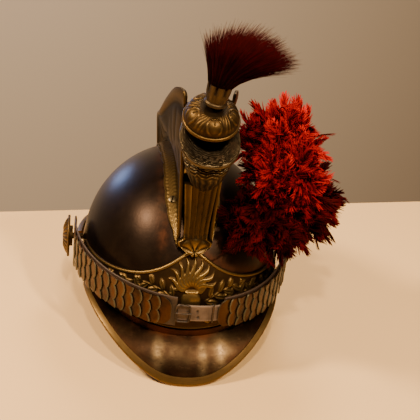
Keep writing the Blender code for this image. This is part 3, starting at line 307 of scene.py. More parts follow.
PLATE_SIDE_HEIGHT = 0.070
PLATE_PEAK_RISE = 0.042
PLATE_PEAK_WIDTH = 24.0


def skull_shell(offset, sides=160, tilts=60):
    """Rows up the band, then rows at even tilts to the apex, on the skull's own formula."""
    angle = np.linspace(0.0, 360.0, sides, endpoint=False)
    low = edge_height(angle)
    band = low + (BROW_HEIGHT - low) * np.linspace(0.0, 1.0, 8)[:, None]
    tilt = np.linspace(0.0, 90.0, tilts)[1:, None]
    height = BROW_HEIGHT + (DOME_HEIGHT + offset) * np.sin(np.radians(tilt))
    height = np.concatenate([band, np.broadcast_to(height, (tilts - 1, sides))])
    return angle, height, on_skull(angle, height, offset)


def near_skull(angle, height, spot):
    """Bell round a spot on the skull, from its angle, height and radius."""
    across = np.radians((angle - spot[0] + 180.0) % 360.0 - 180.0) * (HALF_WIDTH + HALF_LENGTH) / 2
    return np.exp(-(across ** 2 + (height - spot[1]) ** 2) / spot[2] ** 2)


def tarnished_steel():
    """Steel gone dark brown and purple, rusty by the brass edges, with scuffs and a blue sheen."""
    steel = Finish("tarnished_steel", Metallic=0.9)
    cloud = steel.noise(16.0, 8.0, roughness=0.62)
    grain = steel.noise(420.0, 3.0)
    speck = steel.noise(190.0, 2.0).between(0.63, 0.72)
    scratch = steel.noise(60.0, 5.0, where=steel.stretched(1.0, 1.0, 7.0)).between(0.58, 0.75)
    base = steel.ramp(cloud, (0.34, (0.0075, 0.0034, 0.0017)), (0.50, (0.0165, 0.0086, 0.0050)),
                      (0.68, (0.030, 0.0175, 0.0100)))
    rust = (steel.mark("rust") * steel.noise(70.0, 5.0).between(0.36, 0.64)).between(0.0, 1.0)
    base = steel.mix(rust * 0.8, base, (0.085, 0.026, 0.009))
    scuff = steel.mark("scuff") * scratch
    base = steel.mix(scuff, base, (0.100, 0.074, 0.046))
    base = steel.mix(speck * 0.4, base, (0.012, 0.006, 0.004))
    steel.bump(grain * 0.4 + cloud * 0.8 - speck * 0.1, 0.0004, 0.30)
    return steel.paint(base, 0.26 + cloud * 0.20 + rust * 0.2)


def make_skull():
    angle, height, outer = skull_shell(0.0)
    turn = np.radians(angle)
    dent = np.sin(3.0 * turn + 40.0 * height) * np.sin(2.0 * turn - 55.0 * height)
    dent = dent * SKULL_DENT * np.clip((SKULL_HIGH.z - height) / DOME_HEIGHT, 0.0, 1.0)
    outer = outer - (outer - (AXIS_X, AXIS_Y, BROW_HEIGHT)) * (np.abs(dent) / HALF_WIDTH)[..., None]
    inner = skull_shell(-SKULL_WALL)[2]
    rings = np.concatenate([inner[::-1], outer])
    side = np.abs(outer[..., 0] - AXIS_X)
    by_crest = 0.7 * np.exp(-((side - 0.026) / 0.004) ** 2) * (height > BROW_HEIGHT + 0.02)
    by_plate = np.exp(-((height - plate_top(angle) - 0.001) / 0.004) ** 2) * (outer[..., 1] < AXIS_Y)
    low = np.exp(-((height - edge_height(angle)) / 0.010) ** 2)
    rust = np.clip(by_crest + by_plate + 0.5 * low, 0.0, 1.0)
    scuff = sum(near_skull(angle, height, spot) for spot in SKULL_SCUFFS)
    plain = np.zeros(inner.shape[:2])
    marks = {name: np.concatenate([plain, values])
             for name, values in (("rust", rust), ("scuff", scuff))}
    faces = lattice(*rings.shape[:2], around=True)
    return put("skull_shell", rings, faces, STEEL, ["skull"], marks, weld=True)


STEEL = tarnished_steel()
make_skull()


# The visor and the neck guard are sheets of steel riveted under the skull's edge. Each slopes down
# to the table and has a brass strip folded over its free edge.
SHEET_THICKNESS = 0.0012
SEAT_GAP = 0.0007
FIT_GAP = 0.0004
FLANGE_HEIGHT = 0.006
RIM_REST_DEPTH = 0.003
RIM_LIFT = 0.0018
RIM_EASE = 0.003
SHEET_BULGE = 0.003
BINDING_ARM = 0.0065
BINDING_WALL = 0.0009
# Each guard's last entry gives the angles and widths of upright bands of painted highlight on its sheet.
VISOR = dict(reach=0.031, standoff=-0.001, centre=0.028, span=80.0, rise=0.044, way=-1.0,
             wear=((-17.0, 3.0), (9.0, 2.4), (20.0, 3.5)))
NECK = dict(reach=0.050, standoff=0.006, centre=0.022, span=80.0, rise=0.043, way=1.0,
            wear=((-25.0, 6.0), (12.0, 4.0)))


def guard_curves(guard, stations=150):
    """Root and rim of a guard. The rim is half an ellipse about a centre ahead of the axis, and its
    height rises to the sides by a power of the sine of its angle."""
    angle = np.linspace(-guard["span"], guard["span"], stations)
    wall = angle * 0.87 if guard["way"] < 0.0 else 180.0 - angle * 0.87
    low = edge_height(wall)
    outer_root = on_skull(wall, low, SEAT_GAP + SHEET_THICKNESS)
    inner_root = on_skull(wall, low - 0.7 * SHEET_THICKNESS, SEAT_GAP)
    turn = np.radians(angle)
    sweep = np.radians(np.minimum(1.15 * np.abs(angle), 90.0))
    x = AXIS_X + (HALF_WIDTH + guard["standoff"]) * np.sin(turn)
    length = HALF_LENGTH + guard["reach"] - guard["centre"]
    y = AXIS_Y + guard["way"] * (guard["centre"] + length * np.cos(turn))
    z = guard["rise"] * np.sin(sweep) ** 1.7 - RIM_REST_DEPTH
    z = (z + np.sqrt(z ** 2 + RIM_EASE ** 2)) / 2
    z = z - z.min()
    rim = np.stack([x, y, z + RIM_LIFT], axis=-1)
    return wall, low, outer_root, inner_root, rim


def guard_sheet(guard):
    """Middle surface and normals from the root to the rim: a straight line plus a bulge along the
    slope's normal that is largest half way."""
    wall, low, outer_root, inner_root, rim = guard_curves(guard)
    root = (outer_root + inner_root) / 2
    flat = (rim - root) * (1.0, 1.0, 0.0)
    run = np.linalg.norm(flat, axis=-1, keepdims=True)
    flat = flat / run
    slope = np.arctan2(root[:, 2:] - rim[:, 2:], run)
    arch = flat * np.sin(slope) + np.cos(slope) * (0.0, 0.0, 1.0)
    height = SHEET_BULGE * np.minimum(1.0, run / VISOR["reach"]) ** 2
    share = np.linspace(0.0, 1.0, 26)[:, None, None]
    middle = root + (rim - root) * share + arch * (4.0 * share * (1.0 - share) * height)
    outward = middle[-1] - middle[-4]
    outward = outward / np.linalg.norm(outward, axis=-1, keepdims=True)
    along = np.sum(outward * flat, axis=-1, keepdims=True)
    normal = flat * -outward[:, 2:] + along * (0.0, 0.0, 1.0)
    return wall, low, root, rim, outward, normal, middle


def visor_steel():
    """Steel worn brighter than the skull, mottled grey and brown, with rust by its edges and upright streaks of painted
    highlight where the lamps reflect.
    """
    steel = Finish("visor_steel", Metallic=0.95)
    cloud = steel.noise(30.0, 9.0, roughness=0.66)
    fine = steel.noise(150.0, 6.0, roughness=0.7)
    pit = steel.noise(330.0, 3.0).between(0.60, 0.70)
    base = steel.ramp(cloud, (0.38, (0.0060, 0.0024, 0.0008)), (0.50, (0.015, 0.0070, 0.0026)),
                      (0.62, (0.025, 0.0140, 0.0058)))
    # Painted highlight: upright bands lighten the sheet where the lamps' reflections fall.
    base = steel.mix((steel.mark("wear") * cloud.between(0.25, 0.60)).between(0.0, 1.0), base, (0.120, 0.078, 0.036))
    base = steel.mix(fine.between(0.45, 0.70) * 0.6, base, (0.016, 0.0062, 0.0022))
    rust = steel.mark("rust") * steel.noise(55.0, 6.0).between(0.35, 0.60)
    base = steel.mix(rust * 0.8, base, (0.075, 0.022, 0.006))
    base = steel.mix(pit * 0.35, base, (0.024, 0.012, 0.006))
    steel.bump(cloud * 1.0 + fine * 0.5 - pit * 0.2, 0.0006, 0.35)
    return steel.paint(base, 0.24 + fine * 0.22 + rust * 0.25)


def aged_brass(name, low, mid, high, roughness, spots=0.5):
    """Brass with dark recesses and rubbed high places, from the height that a piece marks."""
    brass = Finish(name, Metallic=0.92)
    cloud = brass.noise(38.0, 7.0, roughness=0.6)
    grime = brass.noise(120.0, 6.0, roughness=0.7)
    relief = (brass.mark("relief") + (cloud - 0.5) * 0.5).between(0.0, 1.0)
    base = brass.ramp(relief, (0.05, low), (0.45, mid), (0.92, high))
    base = brass.mix(grime.between(0.52, 0.72) * spots, base, low)
    base = brass.mix(cloud.between(0.60, 0.75) * 0.35, base, (0.085, 0.034, 0.013))
    brass.bump(grime * 0.7 + cloud * 0.5, 0.0004, 0.35)
    return brass.paint(base, roughness + (1.0 - relief) * 0.22 + grime * 0.12)


def make_guard(name, guard, finish, flange_mark):
    wall, low, root, rim, outward, normal, middle = guard_sheet(guard)
    rise = np.linspace(1.0, 0.15, 5)[:, None] * FLANGE_HEIGHT
    outer_flange = on_skull(wall, low + rise, SEAT_GAP + SHEET_THICKNESS)
    inner_flange = on_skull(wall, low + rise, SEAT_GAP)
    half = normal * SHEET_THICKNESS / 2
    outer = np.concatenate([outer_flange, middle + half])
    inner = np.concatenate([inner_flange, middle - half])
    reach = np.concatenate([np.zeros(len(rise)), np.linspace(0.0, 1.0, len(middle))])[:, None]
    side = np.abs(np.linspace(-1.0, 1.0, len(wall)))
    rust = np.clip(np.exp(-((reach - 1.0) / 0.20) ** 2) * (0.45 + 0.9 * side) + side ** 3 * 0.9
                   + np.exp(-(reach / 0.10) ** 2) * flange_mark, 0.0, 1.0)
    points, faces = sheet(outer, inner)
    turn = np.linspace(-guard["span"], guard["span"], len(wall))
    # Upright bands of painted highlight, strongest half way down the sheet.
    wear = sum(np.exp(-((turn - place) / width) ** 2) for place, width in guard["wear"])
    wear = wear * np.sin(math.pi * np.clip(reach, 0.0, 1.0)) ** 0.7
    marks = {"rust": np.tile(rust.ravel(), 2), "wear": np.tile(wear.ravel(), 2)}
    put(name + "_sheet", points, faces, finish, [name], marks)


def make_binding(name, guard):
    """A strip folded round the rim: two arms that lie on the sheet, joined by half a circle."""
    wall, low, root, rim, outward, normal, middle = guard_sheet(guard)
    slot = SHEET_THICKNESS / 2 + FIT_GAP
    arm = slot + BINDING_WALL
    turn = np.linspace(math.pi / 2, -math.pi / 2, 13)
    top = np.array([(-BINDING_ARM, slot + 0.0002), (-BINDING_ARM + 0.0004, arm), (-0.6 * BINDING_ARM, arm * 1.06)])
    nose = np.stack([arm * np.cos(turn), arm * 0.94 * np.sin(turn)], axis=-1)
    under = top[::-1] * (1.0, -1.0)
    bore = np.array([(-BINDING_ARM, -slot), (FIT_GAP, -slot), (FIT_GAP, slot), (-BINDING_ARM, slot)])
    section = np.concatenate([top, nose, under, bore])
    rings = rim[:, None] + outward[:, None] * section[:, :1] + normal[:, None] * section[:, 1:]
    rings[..., 2] = np.maximum(rings[..., 2], 0.0)
    relief = np.full(rings.shape[:2], 0.55)
    relief[:, 3:16] = 0.85
    relief[:, 0] = 0.1
    points, faces = tube(rings)
    marks = {"relief": np.append(relief.ravel(), (0.5, 0.5))}
    put(name + "_strip", points, faces, BINDING_BRASS, [name], marks, weld=True)


VISOR_STEEL = visor_steel()
BINDING_BRASS = aged_brass("binding_brass", (0.022, 0.011, 0.004), (0.072, 0.039, 0.011),
                           (0.150, 0.088, 0.028), 0.32)
make_guard("visor", VISOR, VISOR_STEEL, 0.8)
make_guard("neck_guard", NECK, VISOR_STEEL, 0.5)
make_binding("visor_binding", VISOR)
make_binding("neck_guard_binding", NECK)


# The front plate is stamped sheet brass, held to the skull by its rolled upper rib. A flaming
# grenade stands in its middle, between laurel branches with berries.
PLATE_SPAN = 78.0
PLATE_THICKNESS = 0.0010
PLATE_RIB_WIDTH = 0.0030
PLATE_RIB_HEIGHT = 0.0012
GRENADE_HEIGHT = 0.070
GRENADE_RADIUS = 0.0100
FLAME_ROOT_HEIGHT = 0.0795
FLAME_LENGTH = 0.0275
FLAME_WIDTH = 0.0044
FLAMES = 19
LEAF_LENGTH = 0.0155
LEAF_WIDTH = 0.0058
RELIEF_DEPTH = 0.0019
PLATE_RADIUS = (HALF_WIDTH + HALF_LENGTH) / 2
# Laurel stems: arc from the middle and height over the table at four points, both in metres.
STEMS = (
    ((0.013, 0.069), (0.027, 0.076), (0.043, 0.080), (0.068, 0.076)),
    ((0.030, 0.065), (0.050, 0.070), (0.072, 0.072), (0.100, 0.071)),
    ((0.012, 0.054), (0.034, 0.056), (0.060, 0.058), (0.100, 0.060)),
)


def blade(across, up, x, y, way, length, width, sway=0.0, rib=0.30, blunt=0.75):
    """Height from 0 to 1 of a leaf or flame drawn on the plate: its half-width is a power of a sine
    along its length, it is round across, and a groove or rib runs down its middle."""
    turn = math.radians(way)
    along = (across - x) * math.cos(turn) + (up - y) * math.sin(turn)
    aside = (up - y) * math.cos(turn) - (across - x) * math.sin(turn)
    share = np.clip(along / length, 0.0, 1.0)
    aside = aside - sway * width * np.sin(2.0 * math.pi * share)
    half = width / 2 * np.sin(math.pi * (0.06 + 0.94 * share) ** blunt) + 1e-5
    inside = np.clip(1.0 - (aside / half) ** 2, 0.0, 1.0) * ((along > 0.0) & (along < length))
    vein = 1.0 - rib * np.exp(-(aside / (0.16 * width)) ** 2)
    return np.sqrt(inside) * vein * np.clip(half / (0.35 * width), 0.0, 1.0)


def plate_relief(across, up, bottom, top):
    """Height of the stamped work: the largest of all flames, leaves, berries, ball and ribs."""
    field = np.zeros_like(across)
    rng = np.random.default_rng(4)
    for k in range(FLAMES):
        way = 8.0 + 164.0 * k / (FLAMES - 1)
        stagger = 1.0 if k % 2 else 0.74
        length = FLAME_LENGTH * stagger * (0.80 + 0.20 * math.sin(math.radians(way)))
        start = 0.0028
        x = start * math.cos(math.radians(way)) * 1.5
        y = FLAME_ROOT_HEIGHT + start * math.sin(math.radians(way))
        sway = 0.55 if k % 2 else -0.55
        flame = blade(across, up, x, y, way, length, FLAME_WIDTH, sway, rib=0.15, blunt=0.9)
        field = np.maximum(field, flame * (0.80 + 0.2 * (k % 2)))
    ball_up = up - GRENADE_HEIGHT
    ball = np.clip(1.0 - (across ** 2 + (ball_up * 1.06) ** 2) / GRENADE_RADIUS ** 2, 0.0, 1.0)
    field = np.maximum(field, np.sqrt(ball) * 1.5)
    collar = (np.abs(across) < 0.0064) * np.exp(-((up - FLAME_ROOT_HEIGHT + 0.0012) / 0.0011) ** 2)
    field = np.maximum(field, collar * 1.25)
    for side in (-1.0, 1.0):
        for stem in STEMS:
            points = np.array(stem)
            step = np.linspace(0.0, 3.0, 10)
            xs = np.interp(step, range(4), points[:, 0])
            ys = np.interp(step, range(4), points[:, 1])
            ways = np.degrees(np.arctan2(np.gradient(ys), np.gradient(xs)))
            for k, (x, y, way) in enumerate(zip(xs, ys, ways)):
                lean = 42.0 if k % 2 else -38.0
                turned = way + lean + float(rng.uniform(-7.0, 7.0))
                turned = turned if side > 0.0 else 180.0 - turned
                length = LEAF_LENGTH * float(rng.uniform(0.82, 1.08)) * (1.0 - 0.02 * k)
                leaf = blade(across, up, side * x, y, turned, length, LEAF_WIDTH, rib=0.5, blunt=1.05)
                field = np.maximum(field, leaf * 0.9)
                if k % 3 == 1:
                    berry_x = side * (x + 0.003)
                    berry_y = y + (0.0045 if k % 2 else -0.0045)
                    bell = 1.0 - ((across - berry_x) ** 2 + (up - berry_y) ** 2) / 0.0016 ** 2
                    field = np.maximum(field, np.sqrt(np.clip(bell, 0.0, 1.0)))
                if k < 9:
                    part = blade(across, up, side * x, y, way if side > 0.0 else 180.0 - way,
                                 0.0075, 0.0016, rib=0.0, blunt=1.0)
                    field = np.maximum(field, part * 0.55)
    fade = np.clip((top - PLATE_RIB_WIDTH * 1.2 - up) / 0.0015, 0.0, 1.0)
    fade = fade * np.clip((up - bottom) / 0.0012, 0.0, 1.0)
    return field * fade


def make_front_plate():
    columns, rows, back_rows = 440, 130, 6
    share = np.linspace(-1.0, 1.0, columns)
    angle = PLATE_SPAN * (0.72 * share + 0.28 * share ** 3)
    bottom = edge_height(angle) + FLANGE_HEIGHT + SEAT_GAP * 2
    top = plate_top(angle)
    up = bottom + (top - bottom) * np.linspace(0.0, 1.0, rows)[:, None]
    across = np.broadcast_to(np.radians(angle) * PLATE_RADIUS, up.shape)
    field = plate_relief(across, up, bottom, top)
    from_top = (top - up) / PLATE_RIB_WIDTH
    rib = np.clip(1.0 - (2.0 * from_top - 0.9) ** 2, 0.0, 1.0) ** 0.5
    twist = 0.88 + 0.12 * np.sin(angle * 9.0 + from_top * 3.0)
    low_rib = np.exp(-((up - bottom - 0.0012) / 0.0007) ** 2)
    lift = field * RELIEF_DEPTH + rib * twist * PLATE_RIB_HEIGHT + low_rib * 0.0006
    outer = on_skull(angle, up, SEAT_GAP + PLATE_THICKNESS + lift)
    back_up = bottom + (top - bottom) * np.linspace(1.0, 0.0, back_rows)[:, None]
    rings = np.concatenate([outer, on_skull(angle, back_up, SEAT_GAP)]).transpose(1, 0, 2)
    points, faces = tube(rings)
    relief = np.clip(0.10 + 0.9 * field + 0.75 * rib + 0.4 * low_rib, 0.0, 1.0)
    relief = np.concatenate([relief, np.zeros((back_rows, columns))]).T
    marks = {"relief": np.append(relief.ravel(), (0.0, 0.0))}
    put("brow_plate", points, faces, PLATE_BRASS, ["front_plate"], marks, sharp=80.0)


PLATE_BRASS = aged_brass("plate_brass", (0.022, 0.011, 0.0035), (0.072, 0.040, 0.0110),
                         (0.190, 0.118, 0.038), 0.26, spots=0.3)
make_front_plate()


# The crest is two stamped brass sides, screwed to the skull by their flanges. Each has a sunk
# panel of leaves between a thick double rim and a front edge that runs down to the palmette.
CREST_WALL = 0.0012
CREST_SEAT_GAP = 0.0009
CREST_HEIGHT = 0.256
CREST_TOP_HALF_WIDTH = 0.030
CREST_NECK_HALF_WIDTH = 0.0125
CREST_FLANGE_HALF_WIDTH = 0.0250
CREST_RIM_DEPTH = 0.0018
PANEL_RELIEF = 0.0011
# Base angle over the skull, the top's place forward as a share of the half length, the top's height
# as a share of the crest height, and flange, neck and top half-widths as shares of their sizes.
CREST_STATIONS = (
    (34, 0.800, 1.000, 0.55, 1.00, 0.61),
    (50, 0.626, 0.984, 0.88, 0.97, 0.80),
    (66, 0.391, 0.906, 0.98, 0.93, 0.93),
    (82, 0.130, 0.812, 0.96, 0.90, 1.00),
    (98, -0.174, 0.750, 1.00, 0.90, 0.93),
    (116, -0.452, 0.680, 0.96, 0.90, 0.83),
    (134, -0.713, 0.586, 0.88, 0.88, 0.70),
    (152, -0.904, 0.473, 0.77, 0.80, 0.57),
    (168, -1.026, 0.328, 0.60, 0.68, 0.43),
)


def crest_stations(steps):
    """The stations on a smooth curve through the table: the cubic whose slope at each row is half
    the difference of its neighbours."""
    table = np.array(CREST_STATIONS, float)
    last = len(table) - 1
    at = np.linspace(0.0, last, steps)
    low = np.minimum(at.astype(int), last - 1)
    part = (at - low)[:, None]
    before, start, end, after = (table[np.clip(low + k, 0, last)] for k in (-1, 0, 1, 2))
    return 0.5 * (2 * start + (end - before) * part
                  + (2 * before - 5 * start + 4 * end - after) * part ** 2
                  + (3 * start - before - 3 * end + after) * part ** 3).T


def on_ridge(x, base_angle, offset):
    """Point outside the skull beside its middle line: an ellipse in y and z shrunk by the root of
    1 less the square of x's share of the half width."""
    turn = np.radians(base_angle)
    reach = np.sqrt(1.0 - (x / (HALF_WIDTH + offset)) ** 2)
    y = AXIS_Y - (HALF_LENGTH + offset) * reach * np.cos(turn)
    z = BROW_HEIGHT + (DOME_HEIGHT + offset) * reach * np.sin(turn)
    return np.stack(np.broadcast_arrays(AXIS_X + x, y, z), axis=-1)


def crest_point(stations, share, width_share, side, outset):
    """Point of a crest side at a share of the way from its base line to its top line."""
    angle, forward, height, _, neck, top = stations
    base = on_ridge(0.0, angle, CREST_SEAT_GAP)
    x = CREST_NECK_HALF_WIDTH * neck
    x = x + (CREST_TOP_HALF_WIDTH * top - x) * width_share
    y = base[:, 1] + (AXIS_Y - HALF_LENGTH * forward - base[:, 1]) * share
    z = base[:, 2] + (CREST_HEIGHT * height - base[:, 2]) * share
    return np.stack(np.broadcast_arrays(AXIS_X + side * (x + outset), y, z), axis=-1)


def crest_relief(along, share):
    """Sunk panel of curled leaves: two rows of leaves that spring from a wavy middle stem."""
    stem = 0.50 + 0.10 * np.sin(along * 1.9)
    aside = (share - stem) / 0.34
    curl = np.abs(np.sin(along * 4.2 + np.abs(aside) * 2.6 + 0.5 * np.sin(share * 9.0)))
    leaf = curl ** 0.7 * np.clip(1.0 - np.abs(aside) ** 3, 0.0, 1.0)
    spine = np.exp(-(aside / 0.10) ** 2)
    return np.clip(np.maximum(leaf, spine), 0.0, 1.0)


def make_crest_side(side, hand):
    """Flange on the skull, then the wall up to its rim, as one sheet with its relief pushed out."""
    steps = 210
    stations = crest_stations(steps)
    angle, flange, neck = stations[0], stations[3], stations[4]
    along = np.linspace(0.0, 8.0, steps)
    edge = CREST_FLANGE_HALF_WIDTH * flange + 0.0009 * np.abs(np.sin(along * 5.2)) ** 0.7
    foot = CREST_NECK_HALF_WIDTH * neck
    across = np.linspace(0.0, 1.0, 15)[:, None]
    x = edge + (foot + CREST_WALL - edge) * across
    barb = 0.55 + 0.45 * np.sin(along * 48.0 + 5.0 * np.sin(across * 6.0))
    lip = np.exp(-(across / 0.10) ** 2)
    field = np.maximum(barb * np.clip((across - 0.10) / 0.1, 0.0, 1.0) * (across < 0.86), lip)
    flange_outer = on_ridge(side * x, angle, CREST_SEAT_GAP + CREST_WALL + 0.0006 * field)
    flange_inner = on_ridge(side * np.clip(x, foot, None), angle, CREST_SEAT_GAP)
    share = np.linspace(0.06, 1.0, 60)[:, None]
    width = np.interp(share, (0.0, 0.10, 0.20, 0.50, 0.84, 1.0), (0.0, 0.02, 0.10, 0.45, 0.90, 1.0))
    rim = np.sqrt(np.clip(1.0 - ((share - 0.955) / 0.055) ** 2, 0.0, 1.0))
    groove = 0.6 * np.exp(-((share - 0.925) / 0.010) ** 2)
    front = np.clip((0.26 - along) / 0.07, 0.0, 1.0) * np.clip((0.95 - share) / 0.12, 0.3, 1.0)
    front_groove = np.exp(-((along - 0.24) / 0.03) ** 2) * (share < 0.9)
    rear = np.clip((along - 7.75) / 0.08, 0.0, 1.0)
    frame_lift = np.maximum(np.maximum(rim, front), rear) * (1.0 - 0.55 * np.maximum(groove * rim, front_groove))
    panel = crest_relief(along, share) * np.clip((0.87 - share) / 0.04, 0.0, 1.0)
    panel = panel * np.clip((share - 0.16) / 0.06, 0.0, 1.0) * np.clip((along - 0.32) / 0.08, 0.0, 1.0)
    panel = panel * (1.0 - rear)
    outset = CREST_WALL + frame_lift * CREST_RIM_DEPTH + panel * PANEL_RELIEF
    level = share * (1.0 - 0.03 * np.clip(1.0 - along / 0.4, 0.0, 1.0) ** 2)
    wall_outer = crest_point(stations, level, width, side, outset)
    wall_inner = crest_point(stations, level, width, side, 0.0)
    outer = np.concatenate([flange_outer, wall_outer])
    inner = np.concatenate([flange_inner, wall_inner])
    points, faces = sheet(outer, inner)
    relief = np.concatenate([0.50 + 0.38 * field, 0.0 + 0.66 * frame_lift + 0.34 * panel])
    marks = {"relief": np.concatenate([relief.ravel(), np.zeros(relief.size)])}
    name = "crest_side_" + hand
    put(name + "_stamping", points, faces, CREST_BRASS, [name], marks, sharp=70.0)


CREST_BRASS = aged_brass("crest_brass", (0.009, 0.0055, 0.0022), (0.064, 0.037, 0.0110),
                         (0.190, 0.116, 0.038), 0.28)
make_crest_side(-1, "right")
make_crest_side(1, "left")


# The cover is a crowned brass strip soldered between the two crest rims. It has lost its gilding
# and is greyish pink.
COVER_THICKNESS = 0.0012
COVER_SHARE = (0.88, 0.93)


def make_crest_cover():
    """Grid from rim to rim at the rim's foot, raised along the middle by a parabola."""
    stations = crest_stations(160)
    edge = crest_point(stations, COVER_SHARE[0], COVER_SHARE[1], 1, -FIT_GAP)
    across = np.linspace(-1.0, 1.0, 17)[:, None]
    crown = COVER_THICKNESS * (1.0 - across ** 2)
    x = AXIS_X + (edge[:, 0] - AXIS_X) * across
    z = edge[:, 2] + crown
    inner = np.stack(np.broadcast_arrays(x, edge[:, 1], z), axis=-1)
    outer = inner + (0.0, 0.0, COVER_THICKNESS)
    points, faces = sheet(outer, inner)
    marks = {"relief": np.full(len(points), 0.55)}
    put("crest_cover_strip", points, faces, COVER_BRASS, ["crest_cover"], marks)


COVER_BRASS = aged_brass("cover_brass", (0.020, 0.013, 0.009), (0.060, 0.040, 0.028),
                         (0.110, 0.076, 0.056), 0.46)
make_crest_cover()


# The column is a stamped brass front with five flutes. It spreads at its foot into a palmette
# whose lowest point stands on the peak of the front plate.
HOOD_CHIN_HEIGHT = 0.178
COLUMN_HALF_WIDTH = 0.0125
COLUMN_DEPTH = 0.010
COLUMN_FOOT_HEIGHT = 0.109
FLUTES = 5
FLUTE_DEPTH = 0.0019
PALMETTE_RADIUS = 0.0125
PALMETTE_HEIGHT = 0.1135
PALMETTE_DEPTH = 0.0022


def crest_front(height):
    """Y of the crest sides' front edges: a straight line from their base to their top."""
    first = np.array(CREST_STATIONS[0], float)[:, None]
    low = crest_point(first, 0.0, 0.0, 1, 0.0)[0]
    high = crest_point(first, 1.0, 0.0, 1, 0.0)[0]
    return low[1] + (high[1] - low[1]) * (height - low[2]) / (high[2] - low[2])


def make_crest_column():
    """Rows up the column: a front that is half an ellipse with flutes cut by a sine, and a flat
    back on the crest's front edge. Petals of the palmette are pushed out near its foot."""
    top = HOOD_CHIN_HEIGHT - SEAT_GAP
    level = np.linspace(0.0, 1.0, 96)[:, None]
    height = COLUMN_FOOT_HEIGHT + (top - COLUMN_FOOT_HEIGHT) * level
    wide = np.interp(level, (0.0, 0.05, 0.12, 0.17, 0.22, 0.45, 0.75, 1.0),
                     (0.12, 0.62, 1.18, 1.24, 0.84, 0.86, 1.0, 1.12))
    deep = np.interp(level, (0.0, 0.05, 0.12, 0.17, 0.22, 0.45, 0.75, 1.0),
                     (0.30, 0.45, 0.55, 0.60, 0.60, 0.85, 1.00, 1.05))
    face = on_skull(0.0, height, 2.0 * SEAT_GAP + PLATE_THICKNESS + PLATE_RIB_HEIGHT)[..., 1]
    back = crest_front(height) - FIT_GAP
    low_part = height < plate_top(0.0) + SEAT_GAP * 6
    back = np.where(low_part, np.minimum(face, back), back)
    share = np.linspace(0.0, 1.0, 91)
    across = 2.0 * share - 1.0
    flute = np.abs(np.sin(math.pi * FLUTES * share)) ** 0.8
    fluted = np.clip((level - 0.24) / 0.05, 0.0, 1.0)
    round_face = COLUMN_DEPTH * deep * (0.55 + 0.45 * np.sqrt(np.maximum(0.0, 1.0 - across ** 2)))
    x = COLUMN_HALF_WIDTH * wide * across
    away = np.hypot(x, (height - PALMETTE_HEIGHT + 0.0005))
    way = np.arctan2(x, np.maximum(height - PALMETTE_HEIGHT + 0.0005, -0.02))
    petal = np.abs(np.cos(way * 3.6)) ** 0.6 * np.clip(1.0 - away / PALMETTE_RADIUS, 0.0, 1.0) ** 0.35
    petal = petal * (1.0 - fluted) * np.clip(away / 0.002, 0.3, 1.0)
    border = np.exp(-((np.abs(across) - 0.93) / 0.05) ** 2) * (1.0 - fluted)
    lift = petal * PALMETTE_DEPTH + border * 0.0010 - flute * fluted * FLUTE_DEPTH * np.minimum(1.0, wide)
    front = np.stack(np.broadcast_arrays(AXIS_X + x, back - round_face - lift, height), axis=-1)
    rear_x = COLUMN_HALF_WIDTH * wide * np.array((1.0, 0.33, -0.33, -1.0))
    rear = np.stack(np.broadcast_arrays(AXIS_X + rear_x, back, height), axis=-1)
    rings = np.concatenate([front, rear], axis=1)
    relief = 0.16 + 0.85 * np.maximum(petal, border) + fluted * (0.50 - 0.42 * flute)
    relief = np.concatenate([relief, np.zeros(rear.shape[:2])], axis=1)
    points, faces = tube(rings)
    marks = {"relief": np.append(np.clip(relief, 0.0, 1.0).ravel(), (0.3, 0.3))}
    put("crest_column_stamping", points, faces, CREST_BRASS, ["crest_column"], marks,
        weld=True, sharp=70.0)


make_crest_column()


# The hood at the crest's front is hollow under the dome: an open mouth with a rolled lip over a
# waisted bowl, chased all over with waves like hair. A chased front closes the crest above it.
HOOD_HALF_WIDTH = 0.0230
HOOD_FRONT = 0.140
HOOD_LIP_HEIGHT = 0.214
HOOD_WALL = 0.0016
HOOD_TILT = 25.0
DOME_CENTRE = (AXIS_X, AXIS_Y - 0.110, 0.240)
DOME_RADIUS = 0.0235
# Rows from the mouth down: front place and half-width as shares of the hood's own, the slope
# towards the back as a share of the mouth's, and height as a share from chin to lip.
HOOD_ROWS = (
    (0.920, 0.72, 1.00, 1.195),
    (0.957, 0.87, 0.92, 1.125),
    (0.980, 0.95, 0.84, 1.070),
    (1.000, 1.00, 0.74, 1.000),
    (0.993, 0.98, 0.66, 0.900),
    (0.955, 0.85, 0.60, 0.860),
    (0.950, 0.83, 0.45, 0.690),
    (0.928, 0.68, 0.25, 0.420),
    (0.880, 0.46, 0.08, 0.170),
    (0.820, 0.20, 0.00, 0.000),
)


def hood_rings(rows, inset, sides=144):
    """Rings with a rounded front and a flatter back, each on a plane that slopes to the back."""
    front_share, width_share, tilt_share, height_share = rows.T[:, :, None]
    seat_y = crest_front(HOOD_CHIN_HEIGHT)[()] - FIT_GAP - AXIS_Y
    mouth = HOOD_CHIN_HEIGHT + (HOOD_LIP_HEIGHT - HOOD_CHIN_HEIGHT) * HOOD_ROWS[0][3]
    dome_under = DOME_CENTRE[2] + math.tan(math.radians(HOOD_TILT)) * (seat_y - DOME_CENTRE[1] + AXIS_Y)
    mouth_slope = (dome_under - 0.8 * SEAT_GAP - mouth) / (seat_y + HOOD_FRONT * HOOD_ROWS[0][0])
    front = HOOD_FRONT * front_share - inset
    back = -seat_y + inset
    wide = HOOD_HALF_WIDTH * width_share - inset
    base = HOOD_CHIN_HEIGHT + (HOOD_LIP_HEIGHT - HOOD_CHIN_HEIGHT) * height_share
    turn = np.linspace(0.0, 2.0 * math.pi, sides, endpoint=False)
    ahead = np.cos(turn)
    ahead = np.where(ahead < 0.0, -np.abs(ahead) ** 0.7, ahead)
    x = wide * np.sign(np.sin(turn)) * np.abs(np.sin(turn)) ** 0.85
    y = -((front + back) / 2 + (front - back) / 2 * ahead)
    z = base + mouth_slope * tilt_share * (y + front)
    return turn, np.stack(np.broadcast_arrays(AXIS_X + x, AXIS_Y + y, z), axis=-1)


